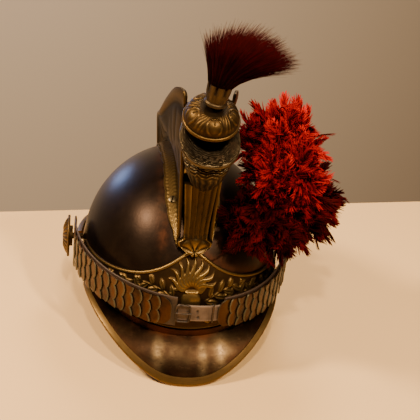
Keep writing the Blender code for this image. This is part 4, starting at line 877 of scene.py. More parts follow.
def make_crest_hood():
    table = np.array(HOOD_ROWS)
    at = np.linspace(0.0, len(table) - 1, 82)
    rows = np.stack([np.interp(at, np.arange(len(table)), column) for column in table.T], axis=-1)
    turn, outer = hood_rings(rows, 0.0)
    level = at[:, None]
    wave = np.sin(level * 17.0 + 2.2 * np.sin(turn * 11.0) + 0.8 * np.sin(turn * 25.0))
    lip = np.exp(-((level - 3.4) / 0.50) ** 2)
    # Above the lip the chasing is lower and its relief mark darker: painted shade of the mouth under the dome.
    hair = (0.5 + 0.5 * wave) ** 1.6 * (1.0 - lip) * np.clip(level / 3.0, 0.45, 1.0)
    ribs = 0.6 * (0.5 + 0.5 * np.sin(turn * 22.0 + 0.6 * np.sin(level * 6.0)))
    hair = hair + (ribs - hair) * np.clip((level - 6.3) / 0.5, 0.0, 1.0)
    middle = np.array((AXIS_X, AXIS_Y - HOOD_FRONT * 0.83, 0.0))
    away = (outer - middle) * (1.0, 1.0, 0.0)
    away = away / np.linalg.norm(away, axis=-1, keepdims=True)
    push = hair * 0.0013 + lip * 0.0019
    outer = outer + away * np.where(np.cos(turn) > -0.6, push, 0.0)[..., None]
    inner = hood_rings(table[[0, 3, 5, 7]], HOOD_WALL)[1]
    floor = hood_rings(table[[8]], HOOD_WALL * 1.8)[1] + (0.0, 0.0, HOOD_WALL)
    rings = np.concatenate([outer[::-1], inner, floor])
    relief = np.concatenate([(0.02 + 0.85 * hair + 0.55 * lip)[::-1], np.zeros((5, len(turn)))])
    points, faces = tube(rings)
    marks = {"relief": np.append(relief.ravel(), (0.0, 0.0))}
    put("crest_hood_bowl", points, faces, HOOD_BRASS, ["crest_hood"], marks,
        weld=True, sharp=70.0)


def make_crest_hair():
    """Chased panel between the crest's front edges, bowed forward, from the hood to the top."""
    first = np.array(CREST_STATIONS[0], float)
    share = np.linspace(0.50, 0.915, 60)[:, None]
    width = np.interp(share, (0.0, 0.10, 0.20, 0.50, 0.84, 1.0), (0.0, 0.02, 0.10, 0.45, 0.90, 1.0))
    edge = crest_point(first[:, None], share[:, 0], width[:, 0], 1, -FIT_GAP)
    across = np.linspace(-1.0, 1.0, 60)
    half = (edge[:, :1] - AXIS_X)
    wave = np.sin(share * 62.0 + 2.4 * np.abs(np.sin(across * 4.6)) - 1.5 * np.abs(across))
    hair = (0.5 + 0.5 * wave) ** 1.2
    bow = 0.0022 * (1.0 - across ** 2) * np.clip((share - 0.50) / 0.2, 0.0, 1.0)
    y = edge[:, 1:2] + 0.0012 - bow
    outer = np.stack(np.broadcast_arrays(AXIS_X + half * across, y - hair * 0.0009, edge[:, 2:]), axis=-1)
    inner = np.stack(np.broadcast_arrays(AXIS_X + half * across, y + 0.0012, edge[:, 2:]), axis=-1)
    points, faces = sheet(outer, inner)
    marks = {"relief": np.concatenate([0.15 + 0.8 * hair.ravel(), np.zeros(hair.size)])}
    put("crest_front_panel", points, faces, HOOD_BRASS, (), marks, sharp=70.0)


HOOD_BRASS = aged_brass("hood_brass", (0.0045, 0.0032, 0.0016), (0.036, 0.022, 0.0095),
                        (0.230, 0.172, 0.090), 0.26, spots=0.3)
make_crest_hood()
make_crest_hair()


# The dome is a turned brass saucer with five chased roundels and a rim band. It sits on the hood's
# mouth on a flat ring, tilted forward, and carries the tuft's holder.
DOME_RISE = 0.012
DOME_BAND = 0.003
DOME_WALL = 0.0018
DOME_SEAT_WIDTH = 0.0072
ROUNDELS = 5
ROUNDEL_RADIUS = 0.0062
HOLDER_FOOT_RADIUS = 0.0085
DOME_AXIS = Vector((0.0, -math.sin(math.radians(HOOD_TILT)), math.cos(math.radians(HOOD_TILT))))


def turned(radius, height, centre, axis, turn):
    """Points at each radius and height about an axis through the centre, at each turn round it. The
    turn starts towards the front, and goes to +X first."""
    axis = np.array(axis)
    ahead = np.array((0.0, -1.0, 0.0)) + axis * axis[1]
    ahead = ahead / np.linalg.norm(ahead)
    aside = np.cross(ahead, axis) * -1.0
    radius, height, turn = (part[..., None] for part in np.broadcast_arrays(radius, height, turn))
    return np.array(centre) + axis * height + radius * (ahead * np.cos(turn) + aside * np.sin(turn))


def make_crest_dome():
    """Profile from the apex over the crown, down the band, under the ring and up inside."""
    turn = np.linspace(0.0, 2.0 * math.pi, 180, endpoint=False)
    flat = HOLDER_FOOT_RADIUS * 1.15
    arc = np.linspace(0.0, math.pi / 2, 46)
    crown = flat + (DOME_RADIUS * 0.94 - flat) * np.sin(arc)
    rise = DOME_BAND + DOME_RISE * np.cos(arc)
    seat = DOME_RADIUS - DOME_SEAT_WIDTH
    band = [(0.955, 1.0), (0.985, 0.96), (1.0, 0.80), (1.0, 0.55), (0.985, 0.45), (1.0, 0.33), (0.99, 0.0)]
    inside = [(seat, 0.0), (seat, DOME_BAND - DOME_WALL)]
    inside += [(flat + (DOME_RADIUS * 0.94 - flat) * math.sin(a) - DOME_WALL,
                DOME_BAND + DOME_RISE * math.cos(a) - DOME_WALL) for a in (1.5, 1.0, 0.6)]
    inside += [(0.0, DOME_BAND + DOME_RISE - DOME_WALL)]
    radius = np.concatenate([[0.0], crown, [DOME_RADIUS * s for s, _ in band], [r for r, _ in inside]])
    height = np.concatenate([[DOME_BAND + DOME_RISE], rise, [DOME_BAND * s for _, s in band],
                             [h for _, h in inside]])
    radius, height = radius[:, None], height[:, None]
    slot = (turn / (2.0 * math.pi) * ROUNDELS + 0.5) % 1.0 - 0.5
    middle = flat + (DOME_RADIUS - flat) * 0.56
    away = np.hypot(slot * 2.0 * math.pi / ROUNDELS * middle, (radius - middle) * 1.15) / ROUNDEL_RADIUS
    way = np.arctan2(slot, radius - middle)
    ring = np.exp(-((away - 0.92) / 0.10) ** 2)
    petals = np.abs(np.cos(way * 2.5)) * np.clip(1.0 - away / 0.80, 0.0, 1.0) ** 0.4
    leaves = np.abs(np.sin(turn * 20.0 + radius * 500.0)) * np.clip(away - 1.1, 0.0, 0.4) * 1.6
    top = np.arange(len(radius))[:, None] < 47
    field = np.clip(np.maximum(np.maximum(ring, petals), leaves), 0.0, 1.0) * top
    field = field * np.clip((radius - flat) / 0.002, 0.0, 1.0)
    field = field * np.clip((DOME_RADIUS * 0.94 - radius) / 0.001, 0.0, 1.0)
    rings = turned(radius + field * 0.0005, height + field * 0.0008, DOME_CENTRE, DOME_AXIS, turn)
    rim = (radius > DOME_RADIUS * 0.95) * 0.6
    relief = np.clip(0.18 + 0.8 * field + rim, 0.0, 1.0) * (height > DOME_BAND * 0.01) * (radius > 0.0)
    faces = lattice(*rings.shape[:2], around=True)
    put("crest_dome_saucer", rings, faces, DOME_BRASS, ["crest_dome"],
        {"relief": np.broadcast_to(relief, rings.shape[:2])}, weld=True, sharp=60.0)


DOME_BRASS = aged_brass("dome_brass", (0.008, 0.0045, 0.0016), (0.050, 0.026, 0.0068),
                        (0.130, 0.074, 0.022), 0.32)
make_crest_dome()


# Four slotted brass screws hold the crest's flanges to the skull, two on each side.
SCREW_RADIUS = 0.0036
SCREW_HEIGHT = 0.0014
SLOT_WIDTH = 0.0009


def make_screw(number, side, first, slot_turn):
    """Low dome whose slot is a trough along one diameter."""
    low, high = (np.array(CREST_STATIONS[first + k], float) for k in (0, 1))
    middle = (low + high) / 2
    edge = (CREST_FLANGE_HALF_WIDTH * middle[3] + CREST_NECK_HALF_WIDTH * middle[4] + CREST_WALL) / 2
    seat = on_ridge(side * edge, middle[0], CREST_SEAT_GAP + CREST_WALL)
    normal = Vector(((seat[0] - AXIS_X) / HALF_WIDTH ** 2, (seat[1] - AXIS_Y) / HALF_LENGTH ** 2,
                     (seat[2] - BROW_HEIGHT) / DOME_HEIGHT ** 2)).normalized()
    share = np.concatenate([np.linspace(0.0, 1.0, 14), [1.0, 0.0]])[:, None]
    turn = np.linspace(0.0, 2.0 * math.pi, 48, endpoint=False)
    radius = SCREW_RADIUS * share
    height = FIT_GAP + SCREW_HEIGHT * (1.0 - 0.42 * share ** 2.5)
    trough = np.abs(radius * np.sin(turn + slot_turn)) < SLOT_WIDTH / 2
    height = np.where(trough, height - 0.0007, height)
    height[-2:] = FIT_GAP
    rings = turned(radius, height, seat, normal, turn)
    faces = lattice(*rings.shape[:2], around=True)
    relief = np.where(trough, 0.0, 0.65)
    put("crest_screw_head_%d" % number, rings, faces, HOOD_BRASS,
        ["crest_screw_%d" % number], {"relief": relief}, weld=True)


for screw, (screw_side, screw_station, screw_turn) in enumerate(
        ((-1, 1, 0.4), (1, 1, 1.1), (-1, 5, 2.0), (1, 5, 0.9)), start=1):
    make_screw(screw, screw_side, screw_station, screw_turn)


# The tuft's holder is a brass cup of six upright leaves over a collar, dark brown with age. It is
# screwed upright on the dome and grips the horsehair.
HOLDER_TOP_RADIUS = 0.0100
HOLDER_LENGTH = 0.019
HOLDER_WALL = 0.0012
HOLDER_LEAN = math.radians(7.0)
HOLDER_LEAVES = 8
HOLDER_AXIS = Vector((math.sin(HOLDER_LEAN), -math.sin(HOLDER_LEAN) * 1.2, math.cos(HOLDER_LEAN))).normalized()
HOLDER_FOOT = (Vector(DOME_CENTRE) + DOME_AXIS * (DOME_BAND + DOME_RISE)
               + HOLDER_AXIS * (HOLDER_FOOT_RADIUS * DOME_AXIS.angle(HOLDER_AXIS) + FIT_GAP))


def make_tuft_holder():
    """Turned cup whose wall is pushed out along each leaf and in between them."""
    turn = np.linspace(0.0, 2.0 * math.pi, 120, endpoint=False)
    level = np.linspace(0.0, 1.0, 44)[:, None]
    radius = np.interp(level, (0.0, 0.06, 0.14, 0.19, 0.60, 1.0), (1.0, 1.10, 1.06, 0.93, 1.10, 1.16))
    radius = radius * HOLDER_FOOT_RADIUS
    leafy = np.clip((level - 0.20) / 0.06, 0.0, 1.0)
    leaf = np.abs(np.cos(turn * HOLDER_LEAVES / 2)) ** 0.6
    second = np.abs(np.sin(turn * HOLDER_LEAVES / 2)) * np.clip((0.72 - level) / 0.1, 0.0, 1.0)
    field = np.maximum(leaf * np.clip((0.96 - level * 0.35 - (1.0 - leaf) * 1.1) / 0.2, 0.0, 1.0), second * 0.8)
    field = field * leafy
    radius = radius + field * 0.0010 - leafy * 0.0006
    height = np.broadcast_to(HOLDER_LENGTH * level, radius.shape)
    bore = np.array([(HOLDER_TOP_RADIUS - HOLDER_WALL, 1.0), (HOLDER_FOOT_RADIUS - HOLDER_WALL, 0.25), (0.0, 0.25)])
    plain = np.ones((1, len(turn)))
    radius = np.concatenate([plain * 0.0, radius, plain * bore[0, 0], plain * bore[1, 0], plain * 0.0])
    height = np.concatenate([plain * 0.0, height, *(plain * HOLDER_LENGTH * b for b in bore[:, 1])])
    rings = turned(radius, height, HOLDER_FOOT, HOLDER_AXIS, turn)
    relief = np.concatenate([plain * 0.3, 0.12 + 0.55 * field + 0.5 * (1.0 - leafy) * plain, plain * 0.3,
                             plain * 0.0, plain * 0.0])
    faces = lattice(*rings.shape[:2], around=True)
    put("tuft_holder_cup", rings, faces, HOLDER_BRASS, ["tuft_holder"],
        {"relief": relief}, weld=True, sharp=60.0)


HOLDER_BRASS = aged_brass("holder_brass", (0.008, 0.005, 0.003), (0.030, 0.019, 0.009),
                          (0.100, 0.066, 0.032), 0.34)
make_tuft_holder()


# The tuft is a brush of dark red horsehair bound into the holder. It stands up on the wearer's
# right and sweeps over to the left, where its ends are cut along a curve.
TUFT_HAIRS = 3900
TUFT_LENGTH = 0.047
HAIR_WIDTH = 0.00062


def strands(roots, ways, bends, lengths, widths, segments, planes=(0.31, 0.87, 0.38), thin=1.0):
    """Thin three-sided hairs, all as one array: root + way t + bend t squared, tapering to a point.
    They are widest across the normals given as planes, and thin is their depth along them. Returns
    the points, the faces and each point's share of its hair's length."""
    count = len(roots)
    share = np.linspace(0.0, 1.0, segments + 1)[None, :, None]
    length = lengths[:, None, None]
    centre = roots[:, None] + ways[:, None] * length * share + bends[:, None] * length * share ** 2
    aside = np.cross(ways, planes)
    aside = aside / np.linalg.norm(aside, axis=-1, keepdims=True)
    lift = np.cross(ways, aside)
    lift = lift / np.linalg.norm(lift, axis=-1, keepdims=True)
    turn = np.array((0.0, 2.0 * math.pi / 3, 4.0 * math.pi / 3))
    section = aside[:, None] * np.cos(turn)[:, None] + lift[:, None] * np.sin(turn)[:, None] * thin
    taper = (widths[:, None] * (1.0 - 0.88 * share[..., 0] ** 2) / 2)[:, :, None, None]
    points = centre[:, :, None] + section[:, None] * taper
    ring = np.arange(3)
    row = np.arange(segments)[:, None] * 3
    sides = np.stack([row + ring, row + (ring + 1) % 3, row + 3 + (ring + 1) % 3, row + 3 + ring], axis=-1)
    last = segments * 3
    caps = np.array(((2, 1, 0, 0), (last, last + 1, last + 2, last + 2)))
    one = np.concatenate([sides.reshape(-1, 4), caps])
    faces = (one[None] + (np.arange(count) * (segments + 1) * 3)[:, None, None]).reshape(-1, 4)
    along = np.broadcast_to(share, (count, segments + 1, 3))
    return points.reshape(-1, 3), faces, along.ravel()


def fibre(name, dark, mid, light, roughness):
    """Hair or feather whose colour runs from its root to its tip, and differs from one to the next."""
    hair = Finish(name, Metallic=0.0, Specular_IOR_Level=0.03)
    tone = hair.mark("along") * 0.5 + hair.mark("shade") * 0.7 + (hair.noise(60.0, 4.0) - 0.5) * 0.5
    base = hair.ramp(tone.between(0.0, 1.2), (0.05, dark), (0.50, mid), (0.95, light))
    return hair.paint(base, roughness + hair.mark("shade") * 0.15)


def make_tuft():
    rng = np.random.default_rng(21)
    count = TUFT_HAIRS
    axis = np.array(HOLDER_AXIS)
    around = rng.uniform(0.0, 2.0 * math.pi, count)
    out = np.sqrt(rng.uniform(0.0, 1.0, count))
    bore = HOLDER_TOP_RADIUS - HOLDER_WALL * 1.2
    foot = np.array(HOLDER_FOOT) + axis * HOLDER_LENGTH * 0.72
    side = np.array((1.0, 0.0, 0.0))
    back = np.array((0.0, 1.0, 0.0))
    x = out * np.cos(around)
    y = out * np.sin(around)
    roots = foot + side * (bore * x)[:, None] + back * (bore * y)[:, None]
    lean = 0.36 + 0.70 * x + rng.normal(0.0, 0.05, count)
    depth = 0.30 * y + rng.normal(0.0, 0.035, count)
    ways = axis + side * lean[:, None] * 0.55 + back * depth[:, None]
    ways = ways / np.linalg.norm(ways, axis=-1, keepdims=True)
    bends = side * np.clip(lean + 0.10, -0.25, 2.0)[:, None] * 0.46
    bends = bends - np.array((0.0, 0.0, 1.0)) * (np.clip(lean, 0.0, 2.0) * 0.24)[:, None]
    bends = bends + rng.normal(0.0, 0.045, (count, 3)) * (1.0, 0.6, 1.0)
    full = 0.92 + 0.22 * np.exp(-((lean - 0.42) / 0.42) ** 2)
    lengths = TUFT_LENGTH * full * rng.uniform(0.84, 1.06, count)
    stray = rng.uniform(0.0, 1.0, count) < 0.035
    bends = np.where(stray[:, None], bends + rng.normal(0.0, 0.10, (count, 3)), bends)
    widths = HAIR_WIDTH * rng.uniform(0.7, 1.2, count)
    points, faces, along = strands(roots, ways, bends, lengths, widths, 4)
    shade = np.repeat(rng.uniform(0.0, 1.0, count), 15)
    put("tuft_horsehair", points, faces, HORSEHAIR, ["tuft"],
        {"along": along, "shade": shade}, sharp=180.0)


HORSEHAIR = fibre("red_horsehair", (0.0022, 0.0001, 0.0001), (0.0130, 0.0002, 0.0004), (0.0520, 0.0009, 0.0014), 0.7)
make_tuft()


# The plume's socket is a plain brass tube with a lip, fixed upright on the skull's left side.
SOCKET_BORE_RADIUS = 0.0046
SOCKET_WALL = 0.0014
SOCKET_LENGTH = 0.028
SOCKET_LIP = 0.0012
SOCKET_BASE_HEIGHT = 0.092
SOCKET_CENTRE = (float(on_skull(90.0, SOCKET_BASE_HEIGHT, 0.0)[0]) + SOCKET_BORE_RADIUS + SOCKET_WALL,
                 AXIS_Y + 0.002, SOCKET_BASE_HEIGHT)


def make_plume_socket():
    outside = SOCKET_BORE_RADIUS + SOCKET_WALL
    lip = outside + SOCKET_LIP
    profile = np.array([(0.0, 0.0), (outside * 0.9, 0.0), (outside, 0.0006), (outside, 0.0245), (lip, 0.0250),
                        (lip, 0.0274), (lip - 0.0005, SOCKET_LENGTH), (SOCKET_BORE_RADIUS, SOCKET_LENGTH),
                        (SOCKET_BORE_RADIUS, 0.0021), (0.0, 0.0021)])
    turn = np.linspace(0.0, 2.0 * math.pi, 56, endpoint=False)
    rings = turned(profile[:, :1], profile[:, 1:], SOCKET_CENTRE, (0.0, 0.0, 1.0), turn)
    faces = lattice(*rings.shape[:2], around=True)
    relief = np.full(rings.shape[:2], 0.5)
    put("plume_socket_tube", rings, faces, DOME_BRASS, ["plume_socket"],
        {"relief": relief}, weld=True)


make_plume_socket()


# The plume is a bundle of cut red feathers, bright above and painted dark below as the shade under the upper lobes,
# wired to a stem in the socket. Each feather is a quill with soft barbs, which hang and curl outwards.
PLUME_REACH = 0.132
PLUME_HEIGHT = 0.200
FEATHER_LENGTH = 0.028
BARB_LENGTH = 0.0105
BARB_WIDTH = 0.0027
BARBS = 24
# Lobes: x, y and z centres, then radii, as shares of the reach sideways and of the height, then how
# many feathers it has and whether they are bright.
# Lobes that are not bright take the dark copy of the feather finish: painted shade under the bright lobes.
PLUME_LOBES = (
    (0.595, -0.240, 0.920, 0.240, 0.230, 0.170, 210, True),
    (0.750, -0.325, 0.680, 0.225, 0.250, 0.155, 215, False),
    (0.495, -0.585, 0.665, 0.250, 0.170, 0.122, 190, False),
    (0.700, -0.110, 0.790, 0.150, 0.150, 0.135, 50, True),
    (0.610, -0.470, 0.840, 0.200, 0.180, 0.120, 160, True),
)


def off_helmet(points, margin):
    """The points, moved out along lines from the skull's middle to an ellipsoid round the helmet."""
    low = points[..., 2] < BROW_HEIGHT + 0.036
    margin = np.where(low, margin + 0.0255, margin)[..., None]
    middle = np.array((AXIS_X, AXIS_Y, BROW_HEIGHT))
    away = points - middle
    away[..., 2] = np.maximum(away[..., 2], 0.0)
    size = np.concatenate([HALF_WIDTH + margin, HALF_LENGTH + margin, DOME_HEIGHT + margin], axis=-1)
    measure = np.linalg.norm(away / size, axis=-1, keepdims=True)
    grown = middle + away / np.clip(measure, 0.3, 1.0)
    return np.where(measure < 1.0, grown, points)


def shaded_lobe_egg(lobe, shrink, seed):
    """Egg of down inside a lobe, painted dark as the shade deep among the feathers: a ball of rows and columns,
    roughened by a sum of sines.
    """
    tilt = np.linspace(0.0, math.pi, 28)[:, None]
    turn = np.linspace(0.0, 2.0 * math.pi, 44, endpoint=False)
    ball = np.stack(np.broadcast_arrays(np.sin(tilt) * np.cos(turn), np.sin(tilt) * np.sin(turn), np.cos(tilt)), -1)
    rough = np.sin(turn * 7 + seed + 4 * np.cos(tilt * 3)) * np.sin(tilt * 11 + seed * 2)
    rough = 1.0 + 0.07 * rough * np.sin(tilt)
    size = np.array((PLUME_REACH * lobe[3], PLUME_REACH * lobe[4], PLUME_HEIGHT * lobe[5])) * shrink
    points = lobe_centre(lobe) + ball * rough[..., None] * size
    return off_helmet(points, 0.004 + 0.0005 * seed), lattice(28, 44, around=True)


def lobe_centre(lobe):
    return np.array((AXIS_X + PLUME_REACH * lobe[0], AXIS_Y + PLUME_REACH * lobe[1], PLUME_HEIGHT * lobe[2]))


def feathers(lobe, count, rng):
    """Quills that lean away from the socket out of a lobe and droop, and the barbs along both sides
    of each: sizes for thin strands that overlap into a leaf with a ragged edge."""
    up = 1.0 - 2.0 * (np.arange(count) + 0.5) / count
    turn = np.arange(count) * math.pi * (3.0 - math.sqrt(5.0)) + rng.uniform(0.0, 0.5, count)
    flat = np.sqrt(1.0 - up ** 2)
    out = np.stack([flat * np.cos(turn), flat * np.sin(turn), up], axis=-1)
    size = np.array((PLUME_REACH * lobe[3], PLUME_REACH * lobe[4], PLUME_HEIGHT * lobe[5]))
    root = lobe_centre(lobe) + out * size * rng.uniform(0.50, 0.80, (count, 1))
    flow = unit(root - np.array(SOCKET_CENTRE) - (0.0, 0.0, SOCKET_LENGTH))
    way = unit(out * 0.45 + flow * 0.60 + rng.normal(0.0, 0.34, (count, 3)))
    face = unit(np.cross(way, np.cross(out + rng.normal(0.0, 0.40, (count, 3)), way)))
    droop = face * -0.22 + np.array((0.0, 0.0, -0.04)) + rng.normal(0.0, 0.10, (count, 3))
    length = FEATHER_LENGTH * rng.uniform(0.55, 1.05, count)
    share = np.repeat(np.linspace(0.08, 0.97, BARBS // 2), 2)[None, :, None]
    share = np.broadcast_to(share, (count, BARBS, 1))
    at = root[:, None] + (way[:, None] * share + droop[:, None] * share ** 2) * length[:, None, None]
    line = unit(way[:, None] + 2.0 * droop[:, None] * share)
    side = np.cross(way, face)
    hand = np.where(np.arange(BARBS) % 2, 1.0, -1.0)[None, :, None]
    spread = side[:, None] * hand * (0.64 - 0.44 * share) + line * (0.72 + 0.40 * share)
    spread = unit(spread + rng.normal(0.0, 0.07, spread.shape))
    curl = line * 0.30 - face[:, None] * 0.22 + rng.normal(0.0, 0.08, spread.shape)
    size = BARB_LENGTH * (0.42 + 0.70 * np.sin(math.pi * share ** 0.7))[..., 0]
    size = size * rng.uniform(0.85, 1.10, size.shape)
    planes = np.broadcast_to(face[:, None], spread.shape)
    tone = rng.uniform(0.0, 0.75, count)
    shade = np.repeat(tone, BARBS) + rng.uniform(0.0, 0.12, count * BARBS)
    barbs = (at.reshape(-1, 3), spread.reshape(-1, 3), curl.reshape(-1, 3), size.ravel(),
             np.full(size.size, BARB_WIDTH), 2, planes.reshape(-1, 3), 0.16)
    quills = (root, way, droop, length, np.full(count, 0.0008), 4, face, 1.0)
    return (barbs, shade), (quills, tone + 0.45)


def make_plume(name, bright, finish, nodes):
    rng = np.random.default_rng(33 if bright else 47)
    parts = []
    start = 0
    for seed, lobe in enumerate(PLUME_LOBES):
        if lobe[7] != bright:
            continue
        points, faces = shaded_lobe_egg(lobe, 0.78, seed)
        # The egg takes the darkest tone: painted shade inside the lobe.
        parts.append((points.reshape(-1, 3), faces, np.zeros(points.size // 3), np.full(points.size // 3, 0.12)))
        for sizes, shade in feathers(lobe, lobe[6], rng):
            made, cells, along = strands(*sizes)
            low = PLUME_HEIGHT * (lobe[2] - lobe[5])
            made[:, 2] = np.where(made[:, 2] < low, low + (made[:, 2] - low) * 0.3, made[:, 2])
            parts.append((made, cells, along, np.repeat(shade, len(made) // len(shade))))
    if bright:
        stem_low = np.array(SOCKET_CENTRE) + (0.0, 0.0, 0.004)
        made, cells, along = strands(stem_low[None], np.array(((0.0, 0.0, 1.0),)), np.zeros((1, 3)),
                                     np.array((0.055,)), np.array((0.007,)), 6)
        parts.append((made, cells, along * 0.0, np.zeros(len(made))))
    counts = np.cumsum([0] + [len(part[0]) for part in parts])
    points = np.concatenate([part[0] for part in parts])
    faces = np.concatenate([part[1] + shift for part, shift in zip(parts, counts)])
    low, high = (np.array(corner) for corner in CAD_BOX)
    points = off_helmet(np.clip(points, low, high), 0.0012)
    marks = {"along": np.concatenate([part[2] for part in parts]),
             "shade": np.concatenate([part[3] for part in parts])}
    put(name, points, faces, finish, nodes, marks, weld=False, sharp=180.0)


BRIGHT_FEATHER = fibre("bright_red_feather", (0.020, 0.0002, 0.0002), (0.220, 0.0018, 0.0018),
                       (0.620, 0.0140, 0.0110), 0.60)
# Dark copy of the bright feathers: painted shade for the lower lobes under the upper ones.
SHADED_FEATHER = fibre("shaded_red_feather", (0.003, 0.0001, 0.0001), (0.040, 0.0008, 0.0006),
                     (0.170, 0.0042, 0.0030), 0.60)
make_plume("plume_bright_feathers", True, BRIGHT_FEATHER, ["plume"])
make_plume("plume_shaded_feathers", False, SHADED_FEATHER, ["plume"])


# The chin strap is leather faced with lapping brass scales, worn over the visor. Its ends hang from
# the bosses, and every scale's lobed edge points to the buckle.
STRAP_OFFSET = 0.0065
STRAP_THICKNESS = 0.0020
STRAP_WIDTH = 0.027
STRAP_FLARE = 0.006
STRAP_HEIGHT = 0.062
STRAP_END_RISE = 0.007
STRAP_SLANT = 0.0030
STRAP_END_ANGLE = 86.0
STRAP_TAIL = 11.0
STRAP_SHIFT = 4.0
SCALES = 14
SCALE_FIRST_ANGLE = 20.5
SCALE_LAST_ANGLE = 84.0
SCALE_THICKNESS = 0.0009
SCALE_RISE = 0.0015
SCALE_LOBE = 0.38
SCALE_PITCH = (SCALE_LAST_ANGLE - SCALE_FIRST_ANGLE) / SCALES
END_PLATE_INNER_ANGLE = 13.5
TAB_START_ANGLE = -6.5
TAB_WIDTH = 0.016


def strap_middle(angle):
    """Height of the strap's middle line: a cubic rise to both bosses, and a sine across."""
    share = np.abs(angle) / 90.0
    return STRAP_HEIGHT + STRAP_END_RISE * share ** 3 - STRAP_SLANT * np.sin(np.radians(2.0 * angle))


def strap_point(angle, across, offset, width=None):
    """Point of the strap: on an ellipse outside the skull by the angle, and up or down from the
    middle line by across times half the width."""
    wide = STRAP_WIDTH + STRAP_FLARE * np.abs(angle) / 90.0 if width is None else width
    turn = np.radians(angle)
    x = AXIS_X + (HALF_WIDTH + offset) * np.sin(turn)
    y = AXIS_Y - (HALF_LENGTH + offset) * np.cos(turn)
    return np.stack(np.broadcast_arrays(x, y, strap_middle(angle) + across * wide / 2), axis=-1)


def worn_leather(name, low, high):
    """Leather with creased grain, rubbed pale along its edges, and painted shade in its punched holes."""
    leather = Finish(name, Metallic=0.0, Specular_IOR_Level=0.4)
    grain = leather.noise(600.0, 5.0, roughness=0.6)
    cloud = leather.noise(70.0, 5.0)
    crease = leather.noise(160.0, 3.0, where=leather.stretched(1.0, 1.0, 0.25), distortion=0.6)
    base = leather.mix((cloud + leather.mark("edge") * 0.6).between(0.35, 0.85), low, high)
    base = leather.mix(crease.between(0.56, 0.72) * 0.6, base, (0.020, 0.011, 0.008))
    # Painted shade: the punched holes are nearly black.
    base = leather.mix(leather.mark("hole"), base, (0.008, 0.006, 0.005))
    leather.bump(grain * 0.5 + crease * 1.0, 0.0005, 0.5)
    return leather.paint(base, 0.42 + grain * 0.25)


def make_leather(name, start, end, width, finish, node, holes=()):
    """Band with a rounded section carried from one angle to another."""
    angle = np.linspace(start, end, 84)
    wide = (STRAP_WIDTH + STRAP_FLARE * np.abs(angle) / 90.0 if width is None else np.full(84, width))[:, None]
    past = np.clip((np.abs(angle) - STRAP_END_ANGLE) / (STRAP_TAIL + 0.4), 0.0, 1.0)
    wide = wide * np.sqrt(1.0 - past ** 2)[:, None]
    turn = np.linspace(0.0, 2.0 * math.pi, 40, endpoint=False)
    bulge = np.sign(np.cos(turn)) * np.abs(np.cos(turn)) ** 0.22
    across = np.sign(np.sin(turn)) * np.abs(np.sin(turn)) ** 0.8
    extra = 1.0 + (0.0024 if width is None else 0.0) / wide
    offset = STRAP_OFFSET + STRAP_THICKNESS / 2 * (1.0 + bulge)
    hole = np.zeros((84, 40))
    arc = np.radians(angle)[:, None] * (HALF_LENGTH + STRAP_OFFSET)
    # Each hole is a shallow dent, painted dark as the shade in its depth.
    for place, up in holes:
        away = np.hypot(arc - math.radians(place) * (HALF_LENGTH + STRAP_OFFSET), across * wide / 2 - up)
        hole = np.maximum(hole, np.clip(1.6 - away / 0.0011, 0.0, 1.0))
    rings = strap_point(angle[:, None], across * extra, offset - hole * 0.0014 * (bulge > 0.0), wide)
    edge = np.broadcast_to(np.clip((np.abs(across) - 0.80) / 0.15, 0.0, 1.0), hole.shape)
    points, faces = tube(rings)
    marks = {"edge": np.append(edge.ravel(), (1.0, 1.0)), "hole": np.append(hole.ravel(), (0.0, 0.0))}
    put(name, points, faces, finish, [node], marks, weld=True, sharp=70.0)


LEATHER = worn_leather("worn_leather", (0.012, 0.0060, 0.0035), (0.042, 0.023, 0.014))
TAB_LEATHER = worn_leather("tab_leather", (0.055, 0.034, 0.024), (0.150, 0.105, 0.080))
make_leather("strap_backing_right", -STRAP_END_ANGLE - STRAP_TAIL, TAB_START_ANGLE - 0.6, None, LEATHER, "strap_leather_right")
make_leather("strap_backing_left", END_PLATE_INNER_ANGLE + 3.4, STRAP_END_ANGLE + STRAP_TAIL, None, LEATHER, "strap_leather_left")
make_leather("strap_tongue", TAB_START_ANGLE, END_PLATE_INNER_ANGLE + 3.0, TAB_WIDTH, TAB_LEATHER, "strap_tab",
             holes=((3.2, 0.0022), (3.8, -0.0042)))


def scale_brass():
    """Red-brown brass with rubbed bright lobes, edged with green where they lap, and painted shade where each scale
    lies under the next.
    """
    brass = Finish("scale_brass", Metallic=0.85)
    cloud = brass.noise(60.0, 6.0)
    fine = brass.noise(260.0, 4.0)
    base = brass.ramp(cloud, (0.32, (0.020, 0.0085, 0.0028)), (0.52, (0.060, 0.0225, 0.0060)),
                      (0.72, (0.085, 0.044, 0.0140)))
    lap = brass.mark("edge")
    # Painted shade: the part of each scale under the next one's lobes goes nearly black; on the end plates the same
    # mark only darkens their tone.
    base = brass.mix((brass.mark("tuck") * 0.9).between(0.0, 1.0), base, (0.012, 0.006, 0.003))
    base = brass.mix((lap * fine.between(0.30, 0.55)).between(0.0, 1.0) * 0.75, base, (0.060, 0.078, 0.048))
    base = brass.mix((lap * lap * lap * 0.5).between(0.0, 1.0), base, (0.140, 0.108, 0.056))
    brass.bump(fine * 0.5 + cloud * 0.8, 0.0004, 0.4)
    return brass.paint(base, 0.30 + fine * 0.2 + lap * 0.15, 0.85 - lap * 0.35)


